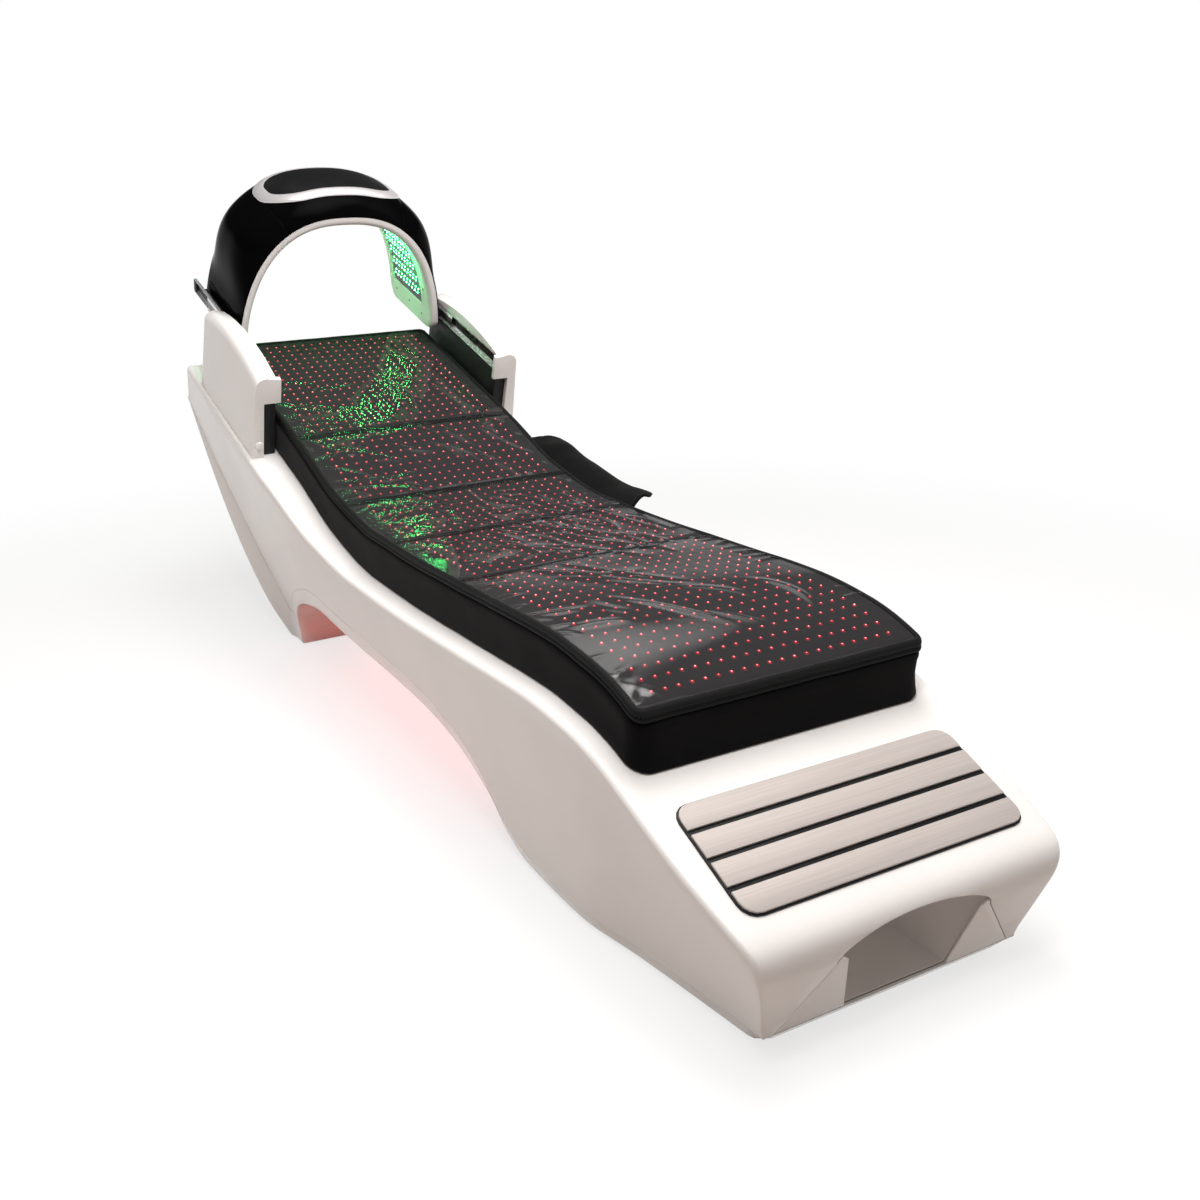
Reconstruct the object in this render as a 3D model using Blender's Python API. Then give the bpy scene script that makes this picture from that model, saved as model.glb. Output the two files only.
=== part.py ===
"""Red light therapy bed: a white moulded lounger with an LED mat and a sliding LED dome.

Metres, +Z up. +X points to the foot end and the floor is z = 0, with the origin under the middle of the bed.
"""
import math

import bmesh
import bpy
from mathutils import Matrix, Vector

# Clearances
TOUCH = 0.0003                  # between pieces that lie against each other
SEAM = 0.0006                   # open line between two mouldings
RUN = 0.0005                    # between sliding rail members

# Deck line along the middle of the bed: straight at the head and the foot, curved between
HEAD_SLOPE = math.radians(17.5)
FOOT_SLOPE = math.radians(24.0)
HEAD_DECK = (-0.638, 0.534)     # point of the straight head part under the front of the rail housings
HEAD_STRAIGHT_END = -0.50
FOOT_DECK = (1.222, 0.219)      # lower end of the straight foot part
FOOT_STRAIGHT_START = 0.98
DECK_CURVE = [(-0.26, 0.405), (-0.04, 0.369), (0.16, 0.366), (0.45, 0.373), (0.70, 0.380), (0.84, 0.369)]
DECK_END_X = -1.15              # upper edge of the slanted head face
TIP = (-1.2805, 0.59)           # rearmost edge of the body, where the two mouldings meet

# Nose: a leaning flat front face, rounded over into the deck
FRONT_LOW = (1.243, 0.027)
FRONT_HIGH = (1.276, 0.135)
NOSE_PULL_FRONT = 0.060
NOSE_PULL_DECK = 0.040
NOSE_ROWS = 7
NOSE_SPREAD = 0.240             # length of the lower edge that the nose's rows fan out over

# Lower edge of the upper moulding, from the stern over the arch to the foot block
STERN_END = (-0.752, 0.083)
ARCH_EDGE = [(-0.728, 0.086), (-0.70, 0.128), (-0.587, 0.192), (-0.40, 0.235), (-0.18, 0.226), (0.17, 0.217),
             (0.35, 0.189), (0.471, 0.133), (0.532, 0.070), (0.62, 0.036), (0.76, 0.027)]

# Underside of the lower moulding: head block, belly under the arch, foot block
BASE_Z = 0.006
HEAD_BLOCK_BACK = -0.775
HEAD_BLOCK_FRONT = -0.690
BELLY = [(-0.678, 0.085), (-0.63, 0.135), (-0.54, 0.165), (-0.40, 0.185), (-0.18, 0.178), (0.17, 0.170),
         (0.33, 0.148), (0.44, 0.095), (0.52, 0.033)]
FOOT_BLOCK_START = 0.60
BASE_FRONT = 1.226
CHINE_LEAN = 0.35               # how far the lower moulding draws in for each unit of its height

# Half widths of the body along its length
DECK_HALF_WIDTH = [(-1.285, 0.366), (-0.64, 0.372), (0.0, 0.340), (0.42, 0.337), (0.81, 0.331), (1.0, 0.326),
                   (1.11, 0.322), (1.226, 0.309), (1.285, 0.300)]
FLOOR_HALF_WIDTH = [(-1.285, 0.240), (-0.73, 0.240), (0.42, 0.280), (0.81, 0.295), (0.97, 0.272), (1.10, 0.255),
                    (1.22, 0.241), (1.285, 0.236)]
SHOULDER_RADIUS = 0.010
BODY_WALL = 0.004
PAN_WALL = 0.005
CORNER_SHARE = 0.25             # part of the wall that a shell keeps lengthwise at the corners of its rim
STATION_STEP = 0.090
STATION_MERGE = 0.010

# Recess in the nose
NICHE_FOOT_HALF = 0.232         # half width of the opening at the front edge
NICHE_SHOULDER = (0.150, 0.112)  # half width and height up the front face where the arch begins
NICHE_CROWN = 0.158             # height of the arch up the front face
NICHE_MOUTH_FOOT = 0.100        # half width between the covers at the bottom
NICHE_MOUTH_TOP = (0.127, 0.114)
NICHE_COVER_THICKNESS = 0.005
NICHE_LINER_WALL = 0.003
NICHE_DEPTH = 0.150
NICHE_LIP = 0.002               # how far the liner's roof stands behind the opening's edge

# Rubber feet
FOOT_PAD_RADIUS = 0.020
FOOT_PAD_PLACES = [(-0.733, -0.17), (-0.733, 0.17), (1.12, -0.18), (1.12, 0.18)]

# Steel frame inside
FRAME_HALF_SPAN = 0.165
FRAME_TUBE_WIDTH = 0.030
FRAME_TUBE_HEIGHT = 0.040
FRAME_TOP_Z = 0.308
FRAME_BACK_X = -0.748
FRAME_FRONT_X = 0.975
FRAME_LEG = 0.026               # side of the square legs and of the posts under the deck
FRAME_LEG_X = [-0.731, 0.90]
FRAME_CROSS_X = [-0.60, 0.14, 0.84]
FRAME_CROSS_WIDTH = 0.024
FRAME_CROSS_HEIGHT = 0.034
DECK_POST_X = [-0.70, 0.30, 0.93]
DECK_POST_GAP = 0.002           # felt pad's space under the deck

# Electrics
SUPPLY_SIZE = (0.200, 0.110, 0.050)
SUPPLY_X = 0.74
DRIVER_SIZE = (0.110, 0.160, 0.038)
DRIVER_X = 0.995
GLOW_SPAN = (-0.50, 0.36)
GLOW_WIDTH = 0.012
GLOW_THICKNESS = 0.004
GLOW_HALF_SPAN = 0.110
INLET_FLANGE = (0.046, 0.064, 0.003)
INLET_BODY = (0.034, 0.052, 0.032)
INLET_UP_STERN = 0.20           # distance up the stern from the floor block
INLET_HOLE_GAP = 0.0005
SOCKET_CUT = (0.017, 0.022, 0.014)
SOCKET_SHIFT = -0.0125
ROCKER_SIZE = (0.0125, 0.020, 0.006)
ROCKER_SHIFT = 0.0130
ROCKER_GAP = 0.0006
ROCKER_RISE = 0.0016
ROCKER_TILT = math.radians(8.0)
ROCKER_POCKET = 0.008

# Foot plates
PLATE_START = 0.197             # from the lower end of the straight deck, up the slope
PLATE_OVERHANG = 0.004
PLATE_HALF_WIDTH = 0.268
PLATE_COUNT = 4
PLATE_GAP = 0.009
PLATE_THICKNESS = 0.004
PLATE_CORNER = 0.026
BACKING_MARGIN = 0.003
BACKING_THICKNESS = 0.003

# Mattress and mat
BED_HEAD_X = -1.020
BED_FOOT_X = 0.977
BED_HALF_WIDTH = 0.287
BED_CORNER = 0.034
MATTRESS_INSET = -0.003         # the mattress stands a little proud of the mat
MATTRESS_THICKNESS = 0.084
MATTRESS_DRAW_IN = 0.003
MATTRESS_COLUMNS = 6
PANEL_THICKNESS = 0.016
PANEL_CROWN = 0.003
SEAMS_X = [-0.503, -0.205, 0.055, 0.370]
SEAM_STRIP_WIDTH = 0.020
SEAM_STRIP_DROP = 0.0015
VINYL_THICKNESS = 0.0012
BINDING_WIDTH = 0.011
BINDING_RISE = 0.004
CORNER_EASE = 0.005             # extra rounding of the layers that lie inside the piping
BED_STATION_GAP = 0.001

# Flap and lead at the far side of the mat
FLAP_SPAN = (-0.385, 0.075)
FLAP_REACH = 0.072
FLAP_RISE = 0.022
FLAP_THICKNESS = 0.007
FLAP_CORNER = 0.030
LEAD_RADIUS = 0.003
# Along the bed, out from the mat's edge, and up
LEAD_POINTS = [(0.000, 0.0006, 0.4558), (0.000, 0.010, 0.4558), (0.009, 0.021, 0.450), (0.021, 0.030, 0.434),
               (0.031, 0.035, 0.412), (0.031, 0.035, 0.3783)]
GROMMET_RADIUS = 0.008
GROMMET_HEIGHT = 0.010

# Rail housings, in the head frame: s up the slope from the housing's front, y outwards, h off the deck
HOUSING_FRONT = -0.012
HOUSING_LENGTH = 0.424
BED_TO_RAIL = 0.010
RAIL_FACE = BED_HALF_WIDTH + BED_TO_RAIL        # inner face of the moving rail member
HOUSING_WIDTH = 0.063
HOUSING_LEAN = 0.011
HOUSING_LEG_WIDTH = 0.031
HOUSING_FRONT_REACH = 0.010
HOUSING_FOOT_OUT = RAIL_FACE + HOUSING_WIDTH
HOUSING_TOP_OUT = HOUSING_FOOT_OUT - HOUSING_LEAN
HOUSING_LEG_IN = HOUSING_FOOT_OUT - HOUSING_LEG_WIDTH
HOUSING_FRONT_IN = RAIL_FACE - HOUSING_FRONT_REACH
HOUSING_STEP_H = 0.143
HOUSING_END_H = 0.209
HOUSING_CROWN = 0.024
HOUSING_SHOULDER = 0.024
HOUSING_FRONT_WALL = 0.012
HOUSING_LIP = 0.0035
HOUSING_ROWS = 8
INNER_PANEL_TOP = 0.156
SCREW_CAP_RADIUS = 0.011
SCREW_CAP_DEPTH = 0.006
SCREW_CAP_H = 0.034

# Telescopic rails
RAIL_DEPTH = 0.0125
RAIL_HEIGHT = 0.042
RAIL_H = 0.180
RAIL_WALL = 0.0014
RAIL_SETBACK = 0.0015
RAIL_LENGTH = 0.385
RAIL_START = 0.006
DOME_TRAVEL = 0.270

# Dome, in the head frame
DOME_FRONT = 0.327
DOME_DEPTH = 0.295
DOME_TO_RAIL = 0.013
DOME_HALF_WIDTH = RAIL_FACE - DOME_TO_RAIL
DOME_BASE_H = 0.070
DOME_RISE = 0.397
DOME_POWER = 2.45
DOME_LEG_END = 0.140
DOME_LEG_BULGE = 0.0065
DOME_CROWN = 0.060
DOME_CROWN_FROM = 0.225
DOME_CROWN_TO = 0.400
DOME_EDGE = 0.003
DOME_WALL = 0.004
DOME_ROUND = 3.6
DOME_SEAM_Y = 0.150
DOME_ROWS = 36
LINER_LIP = 0.022
LINER_BACK = 0.010
LINER_WALL = 0.004
WINDOW_RECESS = 0.006
WINDOW_FRONT = 0.060            # from the front rim to the window
WINDOW_REAR = 0.040
WINDOW_FROM_LEG_END = 0.055
BOARD_THICKNESS = 0.003
BOARD_GAP = 0.001
PANEL_HALF_ARC = 0.139
TOP_PANEL_DEPTH = 0.158
TOP_PANEL_CORNER = 0.064
TOP_PANEL_LIFT = 0.0012
TOP_PANEL_COLUMNS = 8
TOP_PANEL_THICKNESS = 0.0025
TRIM_WIDTH = 0.026
TRIM_THICKNESS = 0.0045
LINER_SCREW_RADIUS = 0.003
LINER_SCREW_UP = 0.030          # from the leg's end
LINER_SCREW_HEIGHT = 0.0012
BRACKET_HEIGHT = 0.022
BRACKET_MARGIN = 0.020

WHITE = (0.86, 0.84, 0.82)
BLACK = (0.010, 0.010, 0.011)


# Shared tools

def clear_scene():
    for old in list(bpy.data.objects):
        bpy.data.objects.remove(old, do_unlink=True)


def finish(name, colour, roughness, metallic=0.0):
    material = bpy.data.materials.new(name)
    material.use_nodes = True
    shader = material.node_tree.nodes["Principled BSDF"]
    shader.inputs["Base Color"].default_value = (*colour, 1.0)
    shader.inputs["Roughness"].default_value = roughness
    shader.inputs["Metallic"].default_value = metallic
    return material


def add_body(name, bm, material, parent=None):
    bmesh.ops.remove_doubles(bm, verts=bm.verts, dist=0.00002)
    bmesh.ops.dissolve_degenerate(bm, edges=bm.edges, dist=0.00001)
    bmesh.ops.recalc_face_normals(bm, faces=bm.faces)
    if bm.calc_volume(signed=True) < 0.0:
        bmesh.ops.reverse_faces(bm, faces=bm.faces)
    mesh = bpy.data.meshes.new(name)
    bm.to_mesh(mesh)
    bm.free()
    mesh.materials.append(material)
    mesh.shade_smooth()
    mesh.set_sharp_from_angle(angle=math.radians(35))
    body = bpy.data.objects.new(name, mesh)
    bpy.context.scene.collection.objects.link(body)
    body.parent = parent
    return body


def combine(body, tool, operation):
    tool.hide_render = True
    tool.display_type = "WIRE"
    step = body.modifiers.new(tool.name, "BOOLEAN")
    step.operation = operation
    step.solver = "EXACT"
    step.object = tool


def cut(body, cutter):
    combine(body, cutter, "DIFFERENCE")


def spline(points, x, slope_in=None, slope_out=None):
    """Smooth curve through (x, value) points, without overshoot, straight beyond its ends."""
    if x <= points[0][0]:
        return points[0][1] + (slope_in or 0.0) * (x - points[0][0])
    if x >= points[-1][0]:
        return points[-1][1] + (slope_out or 0.0) * (x - points[-1][0])
    chord = [(b[1] - a[1]) / (b[0] - a[0]) for a, b in zip(points, points[1:])]
    tangent = [chord[0] if slope_in is None else slope_in]
    for before, after in zip(chord, chord[1:]):
        level = before * after <= 0.0
        tangent.append(0.0 if level else 2.0 * before * after / (before + after))
    tangent.append(chord[-1] if slope_out is None else slope_out)
    i = max(k for k in range(len(chord)) if points[k][0] <= x)
    span = points[i + 1][0] - points[i][0]
    t = (x - points[i][0]) / span
    return ((2 * t ** 3 - 3 * t ** 2 + 1) * points[i][1] + (t ** 3 - 2 * t ** 2 + t) * span * tangent[i]
            + (3 * t ** 2 - 2 * t ** 3) * points[i + 1][1] + (t ** 3 - t ** 2) * span * tangent[i + 1])


def smoothstep(low, high, value):
    t = min(1.0, max(0.0, (value - low) / (high - low)))
    return t * t * (3.0 - 2.0 * t)


def lerp(a, b, t):
    return a + (b - a) * t


def add_rings(bm, rings, closed=True, capped=True):
    """Faces between rings of points, with both ends filled."""
    loops = [[bm.verts.new(point) for point in ring] for ring in rings]
    count = len(loops[0])
    for near, far in zip(loops, loops[1:]):
        for j in range(count if closed else count - 1):
            k = (j + 1) % count
            bm.faces.new((near[j], near[k], far[k], far[j]))
    if capped:
        bm.faces.new(loops[0])
        bm.faces.new(loops[-1])
    return loops


def ring_body(name, rings, material, parent=None):
    bm = bmesh.new()
    add_rings(bm, rings)
    return add_body(name, bm, material, parent)


def loop_body(name, sections, material, parent=None):
    """Closed hoop swept from one section per place round the loop."""
    bm = bmesh.new()
    add_rings(bm, sections + [sections[0]], capped=False)
    return add_body(name, bm, material, parent)


def box_corners(size, centre=(0.0, 0.0, 0.0)):
    half = [value / 2 for value in size]
    return [[(centre[0] + sx * half[0], centre[1] + sy * half[1], centre[2] + sz * half[2])
             for sx, sy in ((-1, -1), (1, -1), (1, 1), (-1, 1))] for sz in (-1, 1)]


def boxes(name, places, material, frame=None, parent=None):
    """Blocks, each given as (size, centre)."""
    bm = bmesh.new()
    for size, centre in places:
        rings = [[Vector(point) for point in ring] for ring in box_corners(size, centre)]
        if frame:
            rings = [[frame @ point for point in ring] for ring in rings]
        add_rings(bm, rings)
    return add_body(name, bm, material, parent)


def disc(name, base, axis, radius, height, sides, material, parent=None):
    """Short round piece with a bevelled end, standing on the centre of its base along an axis."""
    turn = Vector(axis).to_track_quat("Z", "Y").to_matrix()
    angles = [2 * math.pi * k / sides for k in range(sides)]
    rim = [Vector((math.cos(a), math.sin(a), 0.0)) for a in angles]
    levels = ((radius, 0.0), (radius, 0.7 * height), (0.75 * radius, height))
    rings = [[Vector(base) + turn @ (point * r + Vector((0, 0, z))) for point in rim] for r, z in levels]
    return ring_body(name, rings, material, parent)


def thick_sheet(name, grid, wall, material):
    """Moulded shell: a sheet of points given a wall on its inner side, with a rim that is level across."""
    bm = bmesh.new()
    corner = {}

    def vertex(point):
        key = tuple(round(value, 6) for value in point)
        if key not in corner:
            corner[key] = bm.verts.new(point)
        return corner[key]

    sheet = [[vertex(point) for point in row] for row in grid]
    for near, far in zip(sheet, sheet[1:]):
        for j in range(len(near) - 1):
            quad = []
            for v in (near[j], far[j], far[j + 1], near[j + 1]):
                if v not in quad:
                    quad.append(v)
            if len(quad) > 2:
                bm.faces.new(quad)
    bm.normal_update()
    outer = list(bm.faces)
    rim = [edge for edge in bm.edges if edge.is_boundary]
    sides = {row[end] for row in sheet for end in (0, -1)}
    inner = {}
    for v in list(bm.verts):
        inward = -v.normal
        if v.is_boundary:
            across = -math.copysign(1.0, v.co.y) if v in sides else 0.0
            along = (v in sheet[0]) - (v in sheet[-1])
            inward = Vector((CORNER_SHARE * along if across else along, across, 0.0))
        inner[v] = bm.verts.new(v.co + inward * wall)
    for face in outer:
        bm.faces.new([inner[v] for v in reversed(face.verts)])
    for edge in rim:
        a, b = edge.verts
        bm.faces.new((a, b, inner[b], inner[a]))
    return add_body(name, bm, material)


# Body lines

def deck_z(x):
    head = HEAD_DECK[1] - math.tan(HEAD_SLOPE) * (x - HEAD_DECK[0])
    foot = FOOT_DECK[1] - math.tan(FOOT_SLOPE) * (x - FOOT_DECK[0])
    if x <= HEAD_STRAIGHT_END:
        return head
    if x >= FOOT_STRAIGHT_START:
        return foot
    start = (HEAD_STRAIGHT_END, HEAD_DECK[1] - math.tan(HEAD_SLOPE) * (HEAD_STRAIGHT_END - HEAD_DECK[0]))
    end = (FOOT_STRAIGHT_START, FOOT_DECK[1] - math.tan(FOOT_SLOPE) * (FOOT_STRAIGHT_START - FOOT_DECK[0]))
    return spline([start] + DECK_CURVE + [end], x, -math.tan(HEAD_SLOPE), -math.tan(FOOT_SLOPE))


def top_z(x):
    if x < DECK_END_X:
        return lerp(TIP[1], deck_z(DECK_END_X), (x - TIP[0]) / (DECK_END_X - TIP[0]))
    return deck_z(x)


def edge_z(x):
    if x <= STERN_END[0]:
        return lerp(TIP[1], STERN_END[1], (x - TIP[0]) / (STERN_END[0] - TIP[0]))
    return spline([STERN_END] + ARCH_EDGE + [FRONT_LOW], x)


def base_z(x):
    if x <= HEAD_BLOCK_BACK:
        return lerp(TIP[1], BASE_Z, (x - TIP[0]) / (HEAD_BLOCK_BACK - TIP[0]))
    if x <= HEAD_BLOCK_FRONT or x >= FOOT_BLOCK_START:
        return BASE_Z
    return spline([(HEAD_BLOCK_FRONT, BASE_Z)] + BELLY + [(FOOT_BLOCK_START, BASE_Z)], x)


def half_width(x, z):
    floor = spline(FLOOR_HALF_WIDTH, x)
    return floor + (spline(DECK_HALF_WIDTH, x) - floor) * z / deck_z(x)


def nose_points():
    """Side view of the nose, from the straight deck down to the front edge."""
    front = Vector((FRONT_HIGH[0] - FRONT_LOW[0], FRONT_HIGH[1] - FRONT_LOW[1])).normalized()
    deck = Vector((math.cos(FOOT_SLOPE), -math.sin(FOOT_SLOPE)))
    a, d = Vector(FOOT_DECK), Vector(FRONT_HIGH)
    b, c = a + deck * NOSE_PULL_DECK, d + front * NOSE_PULL_FRONT
    points = []
    for k in range(NOSE_ROWS + 1):
        t = k / NOSE_ROWS
        points.append(a * (1 - t) ** 3 + b * 3 * t * (1 - t) ** 2 + c * 3 * t * t * (1 - t) + d * t ** 3)
    return points + [Vector(FRONT_LOW).lerp(d, 0.5), Vector(FRONT_LOW)]


def front_x(z):
    """Front of the nose at a height."""
    points = sorted((p.y, p.x) for p in nose_points())
    for (z0, x0), (z1, x1) in zip(points, points[1:]):
        if z <= z1:
            return lerp(x0, x1, (z - z0) / (z1 - z0))
    return points[-1][1]


def stations():
    named = [TIP[0], DECK_END_X, STERN_END[0], HEAD_BLOCK_BACK, HEAD_BLOCK_FRONT, FOOT_BLOCK_START,
             HEAD_STRAIGHT_END, FOOT_STRAIGHT_START, FOOT_DECK[0]]
    named += [p[0] for p in ARCH_EDGE + BELLY + DECK_CURVE]
    kept = []
    for x in sorted(named):
        if kept and x - kept[-1] < STATION_MERGE and x not in (HEAD_BLOCK_FRONT, FOOT_DECK[0]):
            continue
        kept.append(x)
    filled = [kept[0]]
    for x in kept[1:]:
        start = filled[-1]
        count = math.ceil((x - start) / STATION_STEP)
        filled += [lerp(start, x, k / count) for k in range(1, count + 1)]
    return filled


def facet_z(line, x):
    """Height at x on a line of straight facets."""
    for (x0, z0), (x1, z1) in zip(line, line[1:]):
        if x <= x1:
            break
    return lerp(z0, z1, (x - x0) / (x1 - x0))


DECK_LINE = [(x, top_z(x)) for x in stations()]
BELLY_LINE = [(x, base_z(x)) for x in stations()]


def body_rows():
    """Pairs of side-view points: the deck or front face, and the lower edge of the upper moulding."""
    start = FRONT_LOW[0] - NOSE_SPREAD
    rows = [((x, top_z(x)), (x, edge_z(x))) for x in stations() if x < start]
    nose = [Vector((x, top_z(x))) for x in stations()[:-1] if x >= start] + nose_points()
    for k, point in enumerate(nose):
        x = lerp(start, FRONT_LOW[0], (k + 1) / len(nose))
        rows.append(((point.x, point.y), (x, edge_z(x))))
    return rows


def upper_section(top, edge):
    """Across the upper moulding, from its left lower edge over the deck to the right one."""
    height = math.dist(top, edge)
    radius = min(SHOULDER_RADIUS, 0.4 * height)
    side = []
    drop = 0.0 if height == 0.0 else radius / height
    for t in (1.0, 0.5 + drop / 2, drop):
        x, z = lerp(top[0], edge[0], t), lerp(top[1], edge[1], t)
        side.append((x, half_width(x, z), z))
    bend = 1.0 - math.sqrt(0.5)
    wide = half_width(*top)
    x, z = lerp(top[0], edge[0], drop * bend), lerp(top[1], edge[1], drop * bend)
    side.append((x, wide - radius * bend, z))
    flat = wide - radius
    side.append((top[0], flat, top[1]))
    return [(x, -y, z) for x, y, z in side] + [(top[0], 0.0, top[1])] + side[::-1]


def lower_section(edge, base):
    wide = half_width(*edge)
    rim = edge[1] - SEAM
    low = wide - CHINE_LEAN * (rim - base[1])
    side = [(edge[0], wide, rim), (base[0], low, base[1]), (base[0], low / 2, base[1])]
    return [(x, -y, z) for x, y, z in side] + [(base[0], 0.0, base[1])] + side[::-1]


# Body mouldings

def niche_edge(shrink=0.0):
    """Right half of the opening in the nose, as half width and height up the front face."""
    wide, rise = NICHE_SHOULDER
    points = [(NICHE_FOOT_HALF - shrink, 0.0)]
    steps = 5
    for k in range(steps + 1):
        a = math.pi / 2 * k / steps
        points.append(((wide - shrink) * math.cos(a), rise + (NICHE_CROWN - rise) * math.sin(a)))
    return points


def front_place(y, up, depth=0.0):
    """Point on the leaning front face, or behind it along the bed."""
    lean = Vector((FRONT_HIGH[0] - FRONT_LOW[0], FRONT_HIGH[1] - FRONT_LOW[1])).normalized()
    return Vector((FRONT_LOW[0] + lean.x * up - depth, y, FRONT_LOW[1] + lean.y * up))


def build_body(white, dark):
    rows = body_rows()
    upper = thick_sheet("upper_shell", [upper_section(*row) for row in rows], BODY_WALL, white)
    pan_rows = [lower_section(edge, (edge[0], min(base_z(edge[0]), edge[1] - SEAM)))
                for _, edge in rows if edge[0] < BASE_FRONT - 2 * PAN_WALL]
    pan_rows.append(lower_section((BASE_FRONT, edge_z(BASE_FRONT)), (BASE_FRONT, BASE_Z)))
    front = (FRONT_LOW[0], FRONT_LOW[1])
    pan_rows.append(lower_section(front, (front[0], front[1] - SEAM)))
    lower = thick_sheet("lower_shell", [row[::-1] for row in pan_rows], PAN_WALL, white)

    edge = niche_edge()
    outline = [(y, front_place(0, up).z) for y, up in edge] + [(-y, front_place(0, up).z) for y, up in edge[-2::-1]]
    (y0, z0), (y1, z1) = outline[:2]
    outline[0] = (y0 + BASE_Z * (y0 - y1) / (z1 - z0), z0 - BASE_Z)
    outline[-1] = (-outline[0][0], outline[0][1])
    behind, before = FRONT_LOW[0] - NICHE_DEPTH, FRONT_HIGH[0] + NICHE_DEPTH
    cutter = ring_body("niche_cutter", [[(x, y, z) for y, z in outline] for x in (behind, before)], dark)
    cut(upper, cutter)

    build_niche(white, dark)
    rubber = finish("foot_rubber", BLACK, 0.8)
    for k, (x, y) in enumerate(FOOT_PAD_PLACES):
        top = (x, y, BASE_Z - TOUCH)
        disc(f"rubber_foot_{k + 1}", top, (0, 0, -1), FOOT_PAD_RADIUS, BASE_Z - TOUCH, 16, rubber)
    return lower


def build_niche(white, dark):
    cover_edge = niche_edge(SEAM)
    for name, side in (("niche_cover_left", -1), ("niche_cover_right", 1)):
        top_half, top_up = NICHE_MOUTH_TOP
        corner = [(y, up) for y, up in cover_edge if y > top_half]
        outline = [(corner[0][0] - SEAM, SEAM)] + [(y - SEAM, up - SEAM) for y, up in corner[1:]]
        outline += [(top_half, top_up), (NICHE_MOUTH_FOOT, SEAM)]
        rings = [[front_place(side * y, up, depth) for y, up in outline] for depth in (0.0, NICHE_COVER_THICKNESS)]
        ring_body(name, rings, white)

    arch = [(y + NICHE_LIP, up + NICHE_LIP) for y, up in niche_edge() if y < NICHE_SHOULDER[0]]
    half = [(NICHE_MOUTH_FOOT, NICHE_LINER_WALL + 2 * SEAM)] + arch
    half[-1] = (0.0, half[-1][1])

    def outline(grow):
        lowest = front_place(0, half[0][1]).z
        points = [(y + grow, front_place(0, up).z + grow) for y, up in half]
        points[0] = (half[0][0] + grow, lowest - grow)
        points[-1] = (0.0, points[-1][1])
        return points + [(-y, z) for y, z in points[-2::-1]]

    inside, outside = outline(0.0), outline(NICHE_LINER_WALL)
    setback = max(BODY_WALL, NICHE_COVER_THICKNESS) + SEAM
    back = FRONT_LOW[0] - NICHE_DEPTH
    bm = bmesh.new()
    rings = [[(back, y, z) for y, z in outside]]
    rings.append([(front_x(z) - setback, y, z) for y, z in outside])
    rings.append([(front_x(z) - setback, y, z) for y, z in inside])
    rings.append([(back + NICHE_LINER_WALL, y, z) for y, z in inside])
    add_rings(bm, rings)
    add_body("niche_liner", bm, white)


# Frame and electrics inside

def build_frame(steel):
    """Welded frame: two long tubes, cross members, legs on the pan's floor and posts up to the deck."""
    length = FRAME_FRONT_X - FRAME_BACK_X
    middle = (FRAME_FRONT_X + FRAME_BACK_X) / 2
    axis_z = FRAME_TOP_Z - FRAME_TUBE_HEIGHT / 2
    tube = (length, FRAME_TUBE_WIDTH, FRAME_TUBE_HEIGHT)
    frame = boxes("frame", [(tube, (middle, side * FRAME_HALF_SPAN, axis_z)) for side in (-1, 1)], steel)
    cross = (FRAME_CROSS_WIDTH, 2 * FRAME_HALF_SPAN, FRAME_CROSS_HEIGHT)
    welded = [(cross, (x, 0.0, axis_z)) for x in FRAME_CROSS_X]
    uprights = [(x, BASE_Z + PAN_WALL + TOUCH, axis_z) for x in FRAME_LEG_X]
    for x in DECK_POST_X:
        half = FRAME_LEG / 2
        wall = BODY_WALL / math.cos(max(HEAD_SLOPE, FOOT_SLOPE))
        head = min(deck_z(x - half), deck_z(x), deck_z(x + half)) - wall - DECK_POST_GAP
        uprights.append((x, axis_z, head))
    for x, low, high in uprights:
        size = (FRAME_LEG, FRAME_LEG, high - low)
        welded += [(size, (x, side * FRAME_HALF_SPAN, (low + high) / 2)) for side in (-1, 1)]
    combine(frame, boxes("frame_welded_members", welded, steel), "UNION")


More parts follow.
